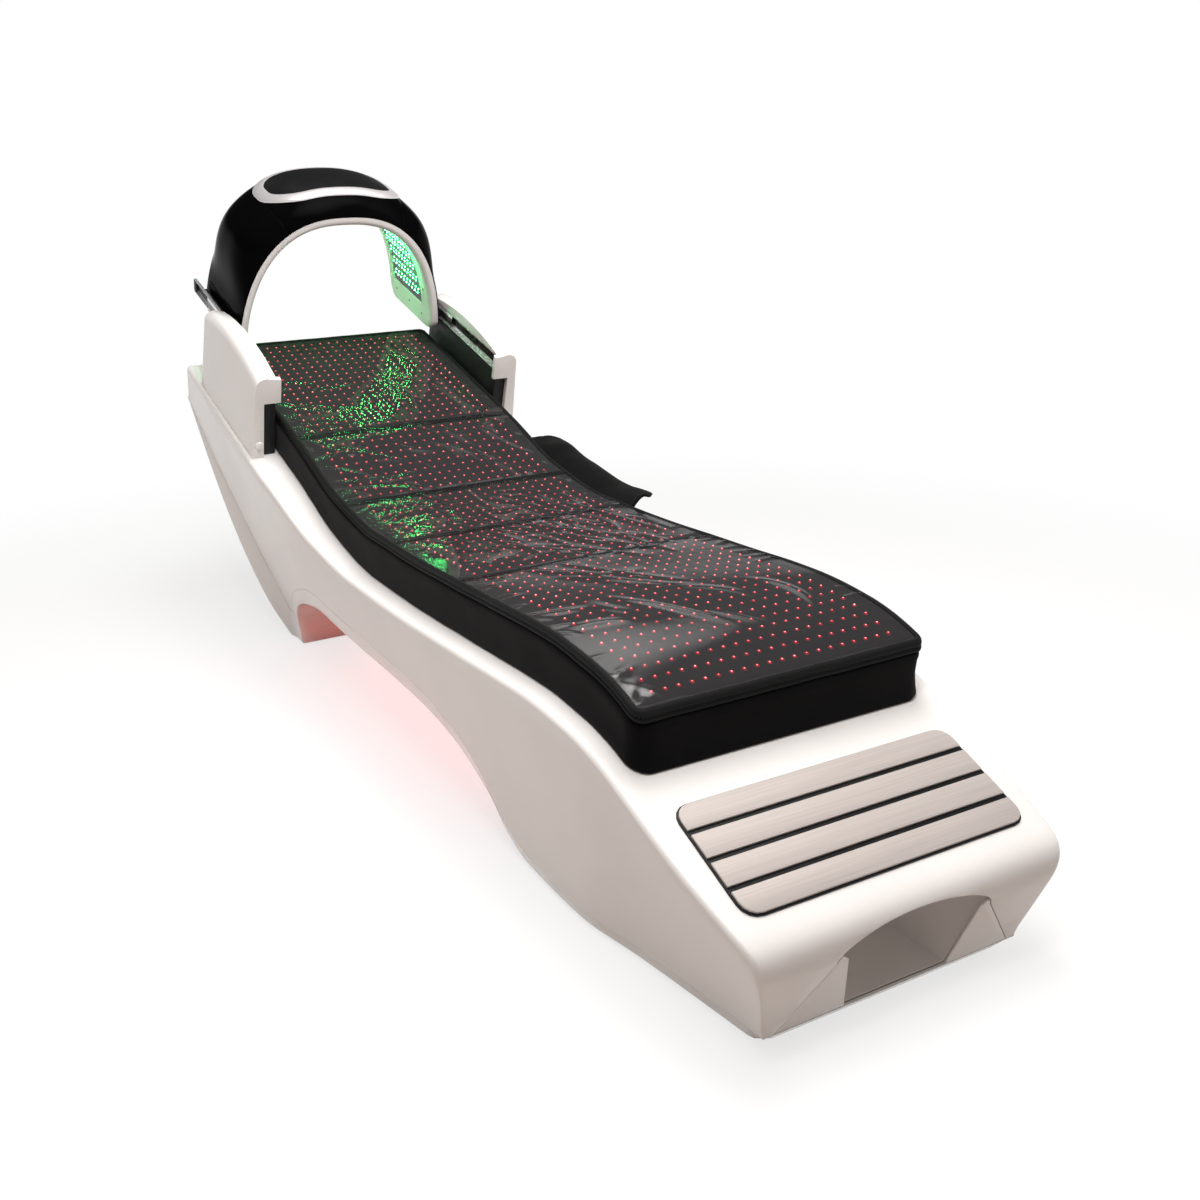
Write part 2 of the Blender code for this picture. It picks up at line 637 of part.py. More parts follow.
def build_electrics(lower, dark, red):
    floor = BASE_Z + PAN_WALL + TOUCH
    metal = finish("supply_case", (0.45, 0.46, 0.47), 0.4, 0.9)
    boxes("power_supply", [(SUPPLY_SIZE, (SUPPLY_X, 0.0, floor + SUPPLY_SIZE[2] / 2))], metal)
    boxes("led_driver", [(DRIVER_SIZE, (DRIVER_X, 0.0, floor + DRIVER_SIZE[2] / 2))], dark)

    start, end = GLOW_SPAN
    for name, side in (("underglow_left", -1), ("underglow_right", 1)):
        rings = []
        for x in [start] + [x for x, _ in BELLY_LINE if start < x < end] + [end]:
            top = facet_z(BELLY_LINE, x) - RUN
            y0 = side * GLOW_HALF_SPAN - GLOW_WIDTH / 2
            y1 = y0 + GLOW_WIDTH
            low = top - GLOW_THICKNESS
            rings.append([(x, y0, low), (x, y1, low), (x, y1, top), (x, y0, top)])
        ring_body(name, rings, red)

    stern = Vector((TIP[0] - HEAD_BLOCK_BACK, 0.0, TIP[1] - BASE_Z)).normalized()
    across = Vector((0.0, 1.0, 0.0))
    outward = stern.cross(across)
    place = Vector((HEAD_BLOCK_BACK, 0.0, BASE_Z)) + stern * INLET_UP_STERN
    frame = Matrix.Translation(place) @ Matrix((stern, across, outward)).transposed().to_4x4()

    face = TOUCH + INLET_FLANGE[2]
    levels = ((INLET_BODY, -INLET_BODY[2]), (INLET_BODY, TOUCH), (INLET_FLANGE, TOUCH), (INLET_FLANGE, face))
    rings = [[frame @ Vector((sx * size[0] / 2, sy * size[1] / 2, z))
              for sx, sy in ((-1, -1), (1, -1), (1, 1), (-1, 1))] for size, z in levels]
    inlet = ring_body("power_inlet", rings, dark)
    hole = [value + 2 * INLET_HOLE_GAP for value in INLET_BODY[:2]] + [4 * PAN_WALL]
    cut(lower, boxes("inlet_hole_cutter", [(hole, (0, 0, 0))], dark, frame))
    socket_centre = (0.0, SOCKET_SHIFT, face)
    pocket = (ROCKER_SIZE[0] + 2 * ROCKER_GAP, ROCKER_SIZE[1] + 2 * ROCKER_GAP, 2 * ROCKER_POCKET)
    pocket_centre = (0.0, ROCKER_SHIFT, face)
    socket = (SOCKET_CUT[0], SOCKET_CUT[1], 2 * SOCKET_CUT[2])
    cut(inlet, boxes("socket_cutter", [(socket, socket_centre), (pocket, pocket_centre)], dark, frame))

    pivot = bpy.data.objects.new("power_switch_pivot", None)
    bpy.context.scene.collection.objects.link(pivot)
    tilt = Matrix.Rotation(ROCKER_TILT, 4, "X")
    pivot.matrix_world = frame @ Matrix.Translation((0.0, ROCKER_SHIFT, face - ROCKER_SIZE[2] / 2)) @ tilt
    wide, long, tall = (value / 2 for value in ROCKER_SIZE)
    profile = [(-long, -tall), (long, -tall), (long, tall), (0.0, tall + ROCKER_RISE), (-long, tall)]
    rocker = [[(x, y, z) for y, z in profile] for x in (-wide, wide)]
    ring_body("power_switch", rocker, finish("switch_black", (0.03, 0.03, 0.03), 0.35), pivot)


# Foot plates

def rounded_plate(length, half_width, first_round, last_round, corner):
    """Outline of a slat in its own plane, with round corners at one or both ends."""
    outline = []
    for x, y, start, use in ((0.0, -half_width, 180, first_round), (length, -half_width, 270, last_round),
                             (length, half_width, 0, last_round), (0.0, half_width, 90, first_round)):
        if not use:
            outline.append((x, y))
            continue
        inward_x = corner if x == 0.0 else -corner
        inward_y = corner if y < 0.0 else -corner
        for k in range(5):
            a = math.radians(start + 22.5 * k)
            outline.append((x + inward_x + corner * math.cos(a), y + inward_y + corner * math.sin(a)))
    return outline


def build_plates(black):
    down = Vector((math.cos(FOOT_SLOPE), 0.0, -math.sin(FOOT_SLOPE)))
    up = Vector((math.sin(FOOT_SLOPE), 0.0, math.cos(FOOT_SLOPE)))
    origin = Vector((FOOT_DECK[0], 0.0, FOOT_DECK[1])) - down * PLATE_START
    length = PLATE_START + PLATE_OVERHANG

    def plate(name, start, outline, low, high, material):
        rings = [[origin + down * (start + p) + Vector((0, y, 0)) + up * h for p, y in outline] for h in (low, high)]
        ring_body(name, rings, material)

    margin = BACKING_MARGIN
    backing = rounded_plate(length + 2 * margin, PLATE_HALF_WIDTH + margin, True, True, PLATE_CORNER + margin)
    plate("foot_plate_backing", -margin, backing, TOUCH, BACKING_THICKNESS, black)
    brushed = finish("brushed_slat", (0.52, 0.48, 0.45), 0.38, 0.85)
    width = (length - (PLATE_COUNT - 1) * PLATE_GAP) / PLATE_COUNT
    for k in range(PLATE_COUNT):
        outline = rounded_plate(width, PLATE_HALF_WIDTH, k == 0, k == PLATE_COUNT - 1, PLATE_CORNER)
        low = BACKING_THICKNESS + TOUCH
        plate(f"foot_plate_{k + 1}", k * (width + PLATE_GAP), outline, low, low + PLATE_THICKNESS, brushed)


# Mattress and mat

def bed_z(x):
    """Height of the deck, which every layer of the bed follows."""
    return facet_z(DECK_LINE, x)


def bed_stations(start, end, corner_start=0.0, corner_end=0.0):
    """Places along the bed: the deck's own stations, and more round the corners."""
    arc = [1.0 - math.cos(math.radians(a)) for a in (0, 30, 60, 90)]
    head = [start + corner_start * a for a in arc] if corner_start else [start]
    foot = [end - corner_end * a for a in arc[::-1]] if corner_end else [end]
    ends = head + foot
    middle = [x for x, _ in DECK_LINE if start < x < end and min(abs(x - e) for e in ends) > BED_STATION_GAP]
    return sorted(ends + middle)


def corner_width(x, start, end, half, corner_start, corner_end):
    for distance, corner in ((x - start, corner_start), (end - x, corner_end)):
        if corner and distance < corner:
            return half - corner + math.sqrt(max(0.0, corner ** 2 - (corner - distance) ** 2))
    return half


def pad(name, start, end, half, corners, low, high, material, columns, draw_in=0.0):
    """Flat-lying pad between two height functions of x and the share across, with drawn-in sides."""
    xs = bed_stations(start, end, *corners)
    shares = [lerp(-1.0, 1.0, j / columns) for j in range(columns + 1)]
    bm = bmesh.new()

    def level(height, inset):
        middle = (start + end) / 2
        shrink = 1.0 - 2 * inset / (end - start)
        rows = []
        for x in xs:
            wide = corner_width(x, start, end, half, *corners) - inset
            rows.append([bm.verts.new((middle + (x - middle) * shrink, wide * q, height(x, q))) for q in shares])
        return rows

    bottom, top = level(low, 0.0), level(high, 0.0)
    for rows in (bottom, top):
        for near, far in zip(rows, rows[1:]):
            for j in range(columns):
                bm.faces.new((near[j], near[j + 1], far[j + 1], far[j]))

    def border(rows):
        sides = [row[-1] for row in rows[1:-1]], [row[0] for row in rows[-2:0:-1]]
        return rows[0] + sides[0] + rows[-1][::-1] + sides[1]

    rings = [border(bottom), border(top)]
    if draw_in:
        middle = level(lambda x, q: (low(x, q) + high(x, q)) / 2, draw_in)
        rings.insert(1, border(middle))
        kept = set(rings[1])
        bmesh.ops.delete(bm, geom=[v for row in middle for v in row if v not in kept], context="VERTS")
    for near, far in zip(rings, rings[1:]):
        for j in range(len(near)):
            k = (j + 1) % len(near)
            bm.faces.new((near[j], near[k], far[k], far[j]))
    return add_body(name, bm, material)


def mat_z(x):
    """Height of the mat's underside."""
    return bed_z(x) + MATTRESS_THICKNESS + TOUCH


def panel_crown(x, q, ends):
    along = (x - ends[0]) / (ends[1] - ends[0])
    return PANEL_CROWN * math.sqrt(max(0.0, math.sin(math.pi * along))) * (1.0 - q ** 4)


def build_bed(black):
    velour = finish("velour_black", (0.012, 0.012, 0.013), 0.95)
    sheet = finish("mat_grey", (0.055, 0.052, 0.054), 0.6)
    webbing = finish("webbing_black", (0.02, 0.02, 0.021), 0.85)
    clear = finish("clear_vinyl", (0.30, 0.29, 0.30), 0.08)
    pad("mattress", BED_HEAD_X + MATTRESS_INSET, BED_FOOT_X - MATTRESS_INSET, BED_HALF_WIDTH - MATTRESS_INSET,
        (BED_CORNER, BED_CORNER), lambda x, q: bed_z(x) + TOUCH, lambda x, q: bed_z(x) + MATTRESS_THICKNESS,
        velour, MATTRESS_COLUMNS, MATTRESS_DRAW_IN)

    inner_half = BED_HALF_WIDTH - BINDING_WIDTH - TOUCH
    inner_corner = BED_CORNER - BINDING_WIDTH + CORNER_EASE
    head, foot = BED_HEAD_X + BINDING_WIDTH + TOUCH, BED_FOOT_X - BINDING_WIDTH - TOUCH
    half_strip = SEAM_STRIP_WIDTH / 2
    starts = [head] + [x + half_strip + TOUCH for x in SEAMS_X]
    ends = [x - half_strip - TOUCH for x in SEAMS_X] + [foot]
    for k, span in enumerate(zip(starts, ends)):
        corners = (inner_corner if k == 0 else 0.0, inner_corner if k == len(SEAMS_X) else 0.0)
        pad(f"led_panel_{k + 1}", *span, inner_half, corners, lambda x, q: mat_z(x),
            lambda x, q: mat_z(x) + PANEL_THICKNESS + panel_crown(x, q, span), sheet, MATTRESS_COLUMNS)

    for k, x in enumerate(SEAMS_X):
        places = (x - half_strip, x + half_strip)
        low = [mat_z(place) for place in places]
        high = [z + PANEL_THICKNESS - SEAM_STRIP_DROP for z in low]
        rings = [[(places[0], y, low[0]), (places[1], y, low[1]), (places[1], y, high[1]), (places[0], y, high[0])]
                 for y in (-inner_half, inner_half)]
        ring_body(f"seam_strip_{k + 1}", rings, webbing)

    def over_mat(x, q):
        crown = 0.0
        for span in zip(starts, ends):
            if span[0] <= x <= span[1]:
                crown = panel_crown(x, q, span)
        return mat_z(x) + PANEL_THICKNESS + crown + RUN

    pad("vinyl_cover", head, foot, inner_half, (inner_corner, inner_corner), over_mat,
        lambda x, q: over_mat(x, q) + VINYL_THICKNESS, clear, MATTRESS_COLUMNS)
    build_binding(webbing)


def build_binding(webbing):
    """Piping that runs round the mat's edge."""
    xs = bed_stations(BED_HEAD_X, BED_FOOT_X, BED_CORNER, BED_CORNER)
    plan = []
    for x in xs:
        plan.append((x, corner_width(x, BED_HEAD_X, BED_FOOT_X, BED_HALF_WIDTH, BED_CORNER, BED_CORNER)))
    loop = plan + [(x, -y) for x, y in plan[::-1]]
    sections = []
    for x, y in loop:
        centre_x = min(max(x, BED_HEAD_X + BED_CORNER), BED_FOOT_X - BED_CORNER)
        centre_y = math.copysign(BED_HALF_WIDTH - BED_CORNER, y)
        away = Vector((x - centre_x, y - centre_y)).normalized()
        rise = PANEL_THICKNESS + BINDING_RISE
        profile = ((BINDING_WIDTH, 0.0), (0.0, 0.0), (0.0, 0.65 * rise), (0.4 * BINDING_WIDTH, rise),
                   (BINDING_WIDTH, rise))
        section = []
        for inset, up in profile:
            px, py = x - away.x * inset, y - away.y * inset
            section.append((px, py, mat_z(px) + up))
        sections.append(section)
    loop_body("mat_binding", sections, webbing)


def build_flap(black):
    """Flap over the mat's lead at the far side, with the lead and its gland in the deck."""
    cloth = finish("flap_cloth", (0.014, 0.014, 0.015), 0.92)
    start, end = FLAP_SPAN
    inner = BED_HALF_WIDTH + TOUCH
    lines = []
    shares = (0.0, 0.25, 0.5, 0.75, 1.0)
    for x in bed_stations(start, end, FLAP_CORNER, FLAP_CORNER):
        reach = corner_width(x, start, end, FLAP_REACH, FLAP_CORNER, FLAP_CORNER)
        lift = FLAP_RISE * smoothstep(start, start + 3 * FLAP_CORNER, x)
        low = [(x, inner + reach * q, mat_z(x) + PANEL_THICKNESS / 2 + lift * math.sin(0.75 * math.pi * q))
               for q in shares]
        lines.append(low + [(px, py, pz + FLAP_THICKNESS) for px, py, pz in low[::-1]])
    ring_body("cable_flap", lines, cloth)

    curve = bpy.data.curves.new("mat_lead", "CURVE")
    curve.dimensions = "3D"
    curve.bevel_depth = LEAD_RADIUS
    curve.bevel_resolution = 2
    curve.use_fill_caps = True
    line = curve.splines.new("POLY")
    line.points.add(len(LEAD_POINTS) - 1)
    for point, (x, out, z) in zip(line.points, LEAD_POINTS):
        point.co = (x, BED_HALF_WIDTH + out, z, 1.0)
    curve.materials.append(black)
    lead = bpy.data.objects.new("mat_lead", curve)
    bpy.context.scene.collection.objects.link(lead)
    x, out, _ = LEAD_POINTS[-1]
    gland = finish("gland_black", (0.02, 0.02, 0.02), 0.5)
    disc("mat_lead_grommet", (x, BED_HALF_WIDTH + out, bed_z(x) + RUN), (0, 0, 1), GROMMET_RADIUS, GROMMET_HEIGHT, 12, gland)


# Head frame

def head_point(s, y, h):
    """Place at s up the head slope, y across and h off the deck."""
    up_slope = Vector((-math.cos(HEAD_SLOPE), 0.0, math.sin(HEAD_SLOPE)))
    off_deck = Vector((math.sin(HEAD_SLOPE), 0.0, math.cos(HEAD_SLOPE)))
    return Vector((HEAD_DECK[0], y, HEAD_DECK[1])) + up_slope * s + off_deck * h


def head_prism(name, outline, starts, ends, side, material, parent=None):
    """Extrusion along the slope of a (y, h) outline."""
    rings = [[head_point(s, side * y, h) for y, h in outline] for s in (starts, ends)]
    return ring_body(name, rings, material, parent)


def housing_outline(top, front):
    """Section of a rail housing: outer wall, rounded top and, behind the front wall, the rail's channel."""
    steps = 5
    ridge = (HOUSING_TOP_OUT + RAIL_FACE) / 2
    outline = [(HOUSING_FOOT_OUT, TOUCH), (HOUSING_TOP_OUT, top - HOUSING_SHOULDER)]
    for k in range(1, steps + 1):
        a = math.pi / 2 * k / steps
        y = lerp(ridge, HOUSING_TOP_OUT, math.cos(a))
        outline.append((y, top - HOUSING_SHOULDER * (1.0 - math.sin(a))))
    inner = HOUSING_FRONT_IN if front else RAIL_FACE
    back = HOUSING_FRONT_IN if front else RAIL_FACE + RAIL_DEPTH + TOUCH
    channel_top = RAIL_H + RAIL_HEIGHT / 2 + RUN
    outline += [((ridge + inner) / 2, top - HOUSING_SHOULDER / 6), (inner, top - HOUSING_SHOULDER / 4)]
    outline += [(inner, channel_top if not front else HOUSING_STEP_H + 2 * HOUSING_LIP),
                (back, channel_top if not front else HOUSING_STEP_H + HOUSING_LIP), (back, HOUSING_STEP_H)]
    outline += [(HOUSING_LEG_IN, HOUSING_STEP_H), (HOUSING_LEG_IN, TOUCH)]
    return outline


def build_housings(white, black, chrome):
    end = HOUSING_FRONT + HOUSING_LENGTH
    wall_end = HOUSING_FRONT + HOUSING_FRONT_WALL

    def top_at(s):
        share = 2 * (s - HOUSING_FRONT) / HOUSING_LENGTH - 1.0
        return HOUSING_END_H + HOUSING_CROWN * (1.0 - share * share)

    places = [(HOUSING_FRONT, True), (wall_end, True)]
    places += [(lerp(wall_end + TOUCH, end, k / HOUSING_ROWS), False) for k in range(HOUSING_ROWS + 1)]
    for name, side in (("left", -1), ("right", 1)):
        rings = [[head_point(s, side * y, h) for y, h in housing_outline(top_at(s), front)] for s, front in places]
        ring_body("rail_housing_" + name, rings, white)
        panel = [(RAIL_FACE, TOUCH), (HOUSING_LEG_IN - TOUCH, TOUCH), (HOUSING_LEG_IN - TOUCH, HOUSING_STEP_H - TOUCH),
                 (RAIL_FACE + RAIL_DEPTH, HOUSING_STEP_H - TOUCH), (RAIL_FACE + RAIL_DEPTH, INNER_PANEL_TOP),
                 (RAIL_FACE, INNER_PANEL_TOP)]
        head_prism("housing_inner_panel_" + name, panel, wall_end + RUN, end, side, black)
        middle = (HOUSING_FOOT_OUT + HOUSING_LEG_IN) / 2 - HOUSING_LIP
        base = head_point(HOUSING_FRONT - TOUCH, side * middle, SCREW_CAP_H)
        axis = head_point(HOUSING_FRONT - 1.0, side * middle, SCREW_CAP_H) - base
        disc("housing_cap_" + name, base, axis, SCREW_CAP_RADIUS, SCREW_CAP_DEPTH, 16, white)
    build_rails(chrome)


def channel(face, depth, height, wall):
    """Section of a rail member: a channel open towards the bed."""
    top, low = RAIL_H + height / 2, RAIL_H - height / 2
    back = face + depth
    return [(face, low), (back, low), (back, top), (face, top), (face, top - wall), (back - wall, top - wall),
            (back - wall, low + wall), (face, low + wall)]


def hat(face, depth, height, wall):
    """Section of the moving member: a channel open away from the bed."""
    top, low = RAIL_H + height / 2, RAIL_H - height / 2
    back = face + depth
    return [(face, low), (back, low), (back, low + wall), (face + wall, low + wall), (face + wall, top - wall),
            (back, top - wall), (back, top), (face, top)]


def build_rails(chrome):
    nest = RAIL_WALL + RUN
    face = RAIL_FACE + RAIL_SETBACK
    members = (
        ("rail_fixed_", channel(face, RAIL_DEPTH - RAIL_SETBACK, RAIL_HEIGHT, RAIL_WALL), RAIL_START),
        ("rail_middle_", channel(face, RAIL_DEPTH - RAIL_SETBACK - nest, RAIL_HEIGHT - 2 * nest, RAIL_WALL),
         RAIL_START + DOME_TRAVEL / 2),
        ("rail_inner_", hat(RAIL_FACE, RAIL_DEPTH - 2 * nest, RAIL_HEIGHT - 4 * nest, RAIL_WALL),
         RAIL_START + DOME_TRAVEL),
    )
    for name, section, start in members:
        for hand, side in (("left", -1), ("right", 1)):
            head_prism(name + hand, section, start, start + RAIL_LENGTH, side, chrome)


# Dome

def arch_table():
    """Points and outward normals of the dome's rim line, from leg end to leg end, with the length so far."""
    steps = 720
    table = []
    for k in range(steps + 1):
        a = math.pi * (1.0 - k / steps)
        c, s = math.cos(a), math.sin(a)
        y = DOME_HALF_WIDTH * math.copysign(abs(c) ** (2 / DOME_POWER), c)
        rise = DOME_RISE * abs(s) ** (2 / DOME_POWER)
        if DOME_BASE_H + rise < DOME_LEG_END:
            continue
        normal = Vector((math.copysign(abs(y) ** (DOME_POWER - 1), y) / DOME_HALF_WIDTH ** DOME_POWER,
                         rise ** (DOME_POWER - 1) / DOME_RISE ** DOME_POWER)).normalized()
        point = Vector((y, DOME_BASE_H + rise))
        length = table[-1][0] + (point - table[-1][1]).length if table else 0.0
        table.append((length, point, normal))
    return table


ARCH = arch_table()
ARCH_LENGTH = ARCH[-1][0]


def arch_at(length):
    """Rim line's point and normal at a length from the left leg's end."""
    low, high = 0, len(ARCH) - 1
    while high - low > 1:
        half = (low + high) // 2
        low, high = (half, high) if ARCH[half][0] <= length else (low, half)
    (l0, p0, n0), (l1, p1, n1) = ARCH[low], ARCH[high]
    t = (length - l0) / (l1 - l0)
    return p0.lerp(p1, t), n0.lerp(n1, t).normalized()


def dome_point(length, along, rise):
    """Place on the dome: length round the arch, distance back from its middle, rise off the rim line."""
    point, normal = arch_at(length)
    place = point + normal * rise
    return head_point(DOME_FRONT + DOME_DEPTH / 2 + along, place.x, place.y)


def shell_rise(length, along):
    """Height of the black cover over the rim line: crowned from front to back, thickest at the top."""
    height = arch_at(length)[0].y
    crown = lerp(DOME_LEG_BULGE, DOME_CROWN, smoothstep(DOME_CROWN_FROM, DOME_CROWN_TO, height))
    share = min(1.0, abs(along) / (DOME_DEPTH / 2))
    return DOME_EDGE + (crown - DOME_EDGE) * (1.0 - share ** DOME_ROUND)


def arch_length_at(y):
    for (l0, p0, _), (l1, p1, _) in zip(ARCH, ARCH[1:]):
        if p0.x <= y <= p1.x:
            return lerp(l0, l1, (y - p0.x) / (p1.x - p0.x))
    return ARCH_LENGTH


def sweep(name, places, section, material, parent):
    rings = [[dome_point(length, along, rise) for along, rise in section(length)] for length in places]
    return ring_body(name, rings, material, parent)


def spread(start, end, step):
    count = max(1, math.ceil((end - start) / step))
    return [lerp(start, end, k / count) for k in range(count + 1)]


def build_dome(white, black, parent):
    gloss = finish("dome_gloss_black", (0.008, 0.008, 0.009), 0.08)
    silver = finish("trim_silver", (0.72, 0.70, 0.72), 0.25, 0.8)
    satin = finish("panel_satin_black", (0.014, 0.014, 0.015), 0.5)
    half = DOME_DEPTH / 2
    shares = (-1.0, -0.95, -0.82, -0.5, 0.0, 0.5, 0.82, 0.95, 1.0)
    row = ARCH_LENGTH / DOME_ROWS

    def cover_section(length):
        outer = [(q * half, shell_rise(length, q * half)) for q in shares]
        inner = [(q * half, max(TOUCH, rise - DOME_WALL)) for q, (_, rise) in zip(shares, outer)]
        return outer + inner[::-1]

    first, second = arch_length_at(-DOME_SEAM_Y), arch_length_at(DOME_SEAM_Y)
    spans = (("left", 0.0, first - SEAM / 2), ("center", first + SEAM / 2, second - SEAM / 2),
             ("right", second + SEAM / 2, ARCH_LENGTH))
    for name, start, end in spans:
        sweep("dome_shell_" + name, spread(start, end, row), cover_section, gloss, parent)

    window = (WINDOW_FROM_LEG_END, ARCH_LENGTH - WINDOW_FROM_LEG_END)
    front, rear = -half + WINDOW_FRONT, half - WINDOW_REAR
    solid_end = LINER_WALL
    jog = TOUCH

    def liner_section(length):
        recess = WINDOW_RECESS if window[0] <= length <= window[1] else 0.0
        closed = length <= solid_end or length >= ARCH_LENGTH - solid_end
        hidden = -2 * TOUCH if closed else -LINER_LIP + LINER_BACK
        lip, face = -LINER_LIP, -LINER_LIP + recess
        seen = [(-half, -TOUCH), (-half, 0.55 * lip), (-half + 0.4 * LINER_LIP, lip), (front, lip), (front, face),
                (rear, face), (rear, lip), (half - 0.4 * LINER_LIP, lip), (half, 0.55 * lip), (half, -TOUCH)]
        inset = half - LINER_WALL
        return seen + [(inset, -TOUCH), (inset, hidden), (-inset, hidden), (-inset, -TOUCH)]

    places = [0.0, solid_end]
    places += spread(solid_end + jog, window[0] - jog, row)
    places += spread(window[0], window[1], row)
    places += spread(window[1] + jog, ARCH_LENGTH - solid_end - jog, row)
    places += [ARCH_LENGTH - solid_end, ARCH_LENGTH]
    sweep("dome_liner", places, liner_section, white, parent)

    floor = -LINER_LIP + WINDOW_RECESS - RUN

    def board_section(length):
        near, far = front + BOARD_GAP, rear - BOARD_GAP
        return [(near, floor), (far, floor), (far, floor - BOARD_THICKNESS), (near, floor - BOARD_THICKNESS)]

    board_places = spread(window[0] + BOARD_GAP, window[1] - BOARD_GAP, row)
    sweep("dome_led_board", board_places, board_section, finish("board_black", (0.01, 0.012, 0.011), 0.5), parent)

    dark = finish("screw_dark", (0.05, 0.05, 0.05), 0.4, 0.8)
    for name, length in (("left", LINER_SCREW_UP), ("right", ARCH_LENGTH - LINER_SCREW_UP)):
        base = dome_point(length, 0.0, -LINER_LIP - TOUCH)
        axis = dome_point(length, 0.0, -2 * LINER_LIP) - base
        disc("dome_screw_" + name, base, axis, LINER_SCREW_RADIUS, LINER_SCREW_HEIGHT, 8, dark, parent)
    build_top_panel(silver, satin, parent)


def build_top_panel(silver, satin, parent):
    """Satin panel on the crown and the silver ring round it."""
    middle = ARCH_LENGTH / 2
    half_arc, half_depth, corner = PANEL_HALF_ARC, TOP_PANEL_DEPTH / 2, TOP_PANEL_CORNER

    def surface(arc, along, lift):
        return dome_point(middle + arc, along, shell_rise(middle + arc, along) + lift)

    def arcs(reach, radius):
        turn = [radius * (1.0 - math.cos(math.radians(a))) for a in (0, 18, 36, 54, 72, 90)]
        flat = spread(-reach + radius, reach - radius, ARCH_LENGTH / DOME_ROWS)
        return [-reach + a for a in turn[:-1]] + flat + [reach - a for a in turn[-2::-1]]

    rows = []
    for arc in arcs(half_arc, corner):
        wide = corner_width(arc, -half_arc, half_arc, half_depth, corner, corner)
        across = [lerp(-wide, wide, j / TOP_PANEL_COLUMNS) for j in range(TOP_PANEL_COLUMNS + 1)]
        low = [surface(arc, a, TOP_PANEL_LIFT) for a in across]
        high = [surface(arc, a, TOP_PANEL_LIFT + TOP_PANEL_THICKNESS) for a in across]
        rows.append(low + high[::-1])
    ring_body("dome_top_panel", rows, satin, parent)

    outer_arc, outer_depth, outer_corner = half_arc + TRIM_WIDTH, half_depth + TRIM_WIDTH, corner + TRIM_WIDTH
    half_loop = [(arc, corner_width(arc, -outer_arc, outer_arc, outer_depth, outer_corner, outer_corner))
                 for arc in arcs(outer_arc, outer_corner)]
    loop = half_loop + [(arc, -along) for arc, along in half_loop[::-1]]
    sections = []
    for arc, along in loop:
        centre_arc = min(max(arc, -outer_arc + outer_corner), outer_arc - outer_corner)
        centre_along = math.copysign(outer_depth - outer_corner, along)
        away = Vector((arc - centre_arc, along - centre_along)).normalized()
        profile = ((TRIM_WIDTH - TOUCH, 0.0), (0.0, 0.0), (0.25 * TRIM_WIDTH, TRIM_THICKNESS),
                   (0.75 * TRIM_WIDTH, TRIM_THICKNESS), (TRIM_WIDTH - TOUCH, 0.6 * TRIM_THICKNESS))
        sections.append([surface(arc - away.x * inset, along - away.y * inset, TOP_PANEL_LIFT + up)
                         for inset, up in profile])
    loop_body("dome_trim", sections, silver, parent)


def build_brackets(black, parent):
    """Spacers between the dome's legs and the moving rails."""
    low, high = RAIL_H - BRACKET_HEIGHT / 2, RAIL_H + BRACKET_HEIGHT / 2
    widest = 0.0
    for k in range(41):
        length = ARCH_LENGTH * (0.75 + 0.25 * k / 40)
        point, normal = arch_at(length)
        place = point + normal * shell_rise(length, 0.0)
        if low <= place.y <= high:
            widest = max(widest, place.x)
    section = [(widest + RUN, low), (RAIL_FACE - TOUCH, low), (RAIL_FACE - TOUCH, high), (widest + RUN, high)]
    start = DOME_FRONT + BRACKET_MARGIN
    end = DOME_FRONT + DOME_DEPTH - BRACKET_MARGIN
    for name, side in (("left", -1), ("right", 1)):
        head_prism("dome_bracket_" + name, section, start, end, side, black, parent)


def main():
    clear_scene()
    white = finish("shell_white", WHITE, 0.15)
    black = finish("matte_black", BLACK, 0.6)
    dark = finish("moulded_black", (0.02, 0.02, 0.02), 0.45)
    steel = finish("frame_steel", (0.12, 0.12, 0.13), 0.5, 0.7)
    chrome = finish("rail_chrome", (0.62, 0.62, 0.63), 0.12, 1.0)
    red = finish("glow_red", (0.8, 0.05, 0.04), 0.4)
    lower = build_body(white, dark)
    build_frame(steel)
    build_electrics(lower, dark, red)
    build_plates(black)
    build_bed(black)
    build_flap(black)
    build_housings(white, black, chrome)
    slide = bpy.data.objects.new("dome_slide", None)
    bpy.context.scene.collection.objects.link(slide)
    build_dome(white, black, slide)
    build_brackets(black, slide)


main()
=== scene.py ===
"""Looks of a light therapy bed: a white moulded lounger with a black mattress, a red LED mat under clear vinyl and a
gloss black LED dome on rails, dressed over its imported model."""
import math

import bmesh
import bpy
import numpy as np
from mathutils import Matrix, Vector


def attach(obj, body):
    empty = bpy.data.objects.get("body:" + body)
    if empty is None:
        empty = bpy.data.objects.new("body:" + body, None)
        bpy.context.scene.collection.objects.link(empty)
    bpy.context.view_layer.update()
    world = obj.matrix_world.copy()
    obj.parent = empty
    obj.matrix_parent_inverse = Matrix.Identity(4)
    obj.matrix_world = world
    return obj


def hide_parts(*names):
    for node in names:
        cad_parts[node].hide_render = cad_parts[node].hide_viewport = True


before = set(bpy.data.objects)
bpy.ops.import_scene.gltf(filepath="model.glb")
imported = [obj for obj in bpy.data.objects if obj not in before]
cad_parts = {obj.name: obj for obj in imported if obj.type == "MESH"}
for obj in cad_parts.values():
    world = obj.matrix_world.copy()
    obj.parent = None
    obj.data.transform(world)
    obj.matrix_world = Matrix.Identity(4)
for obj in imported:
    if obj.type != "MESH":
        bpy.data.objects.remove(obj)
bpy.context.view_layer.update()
scene = bpy.context.scene
scene.view_settings.view_transform = "Standard"


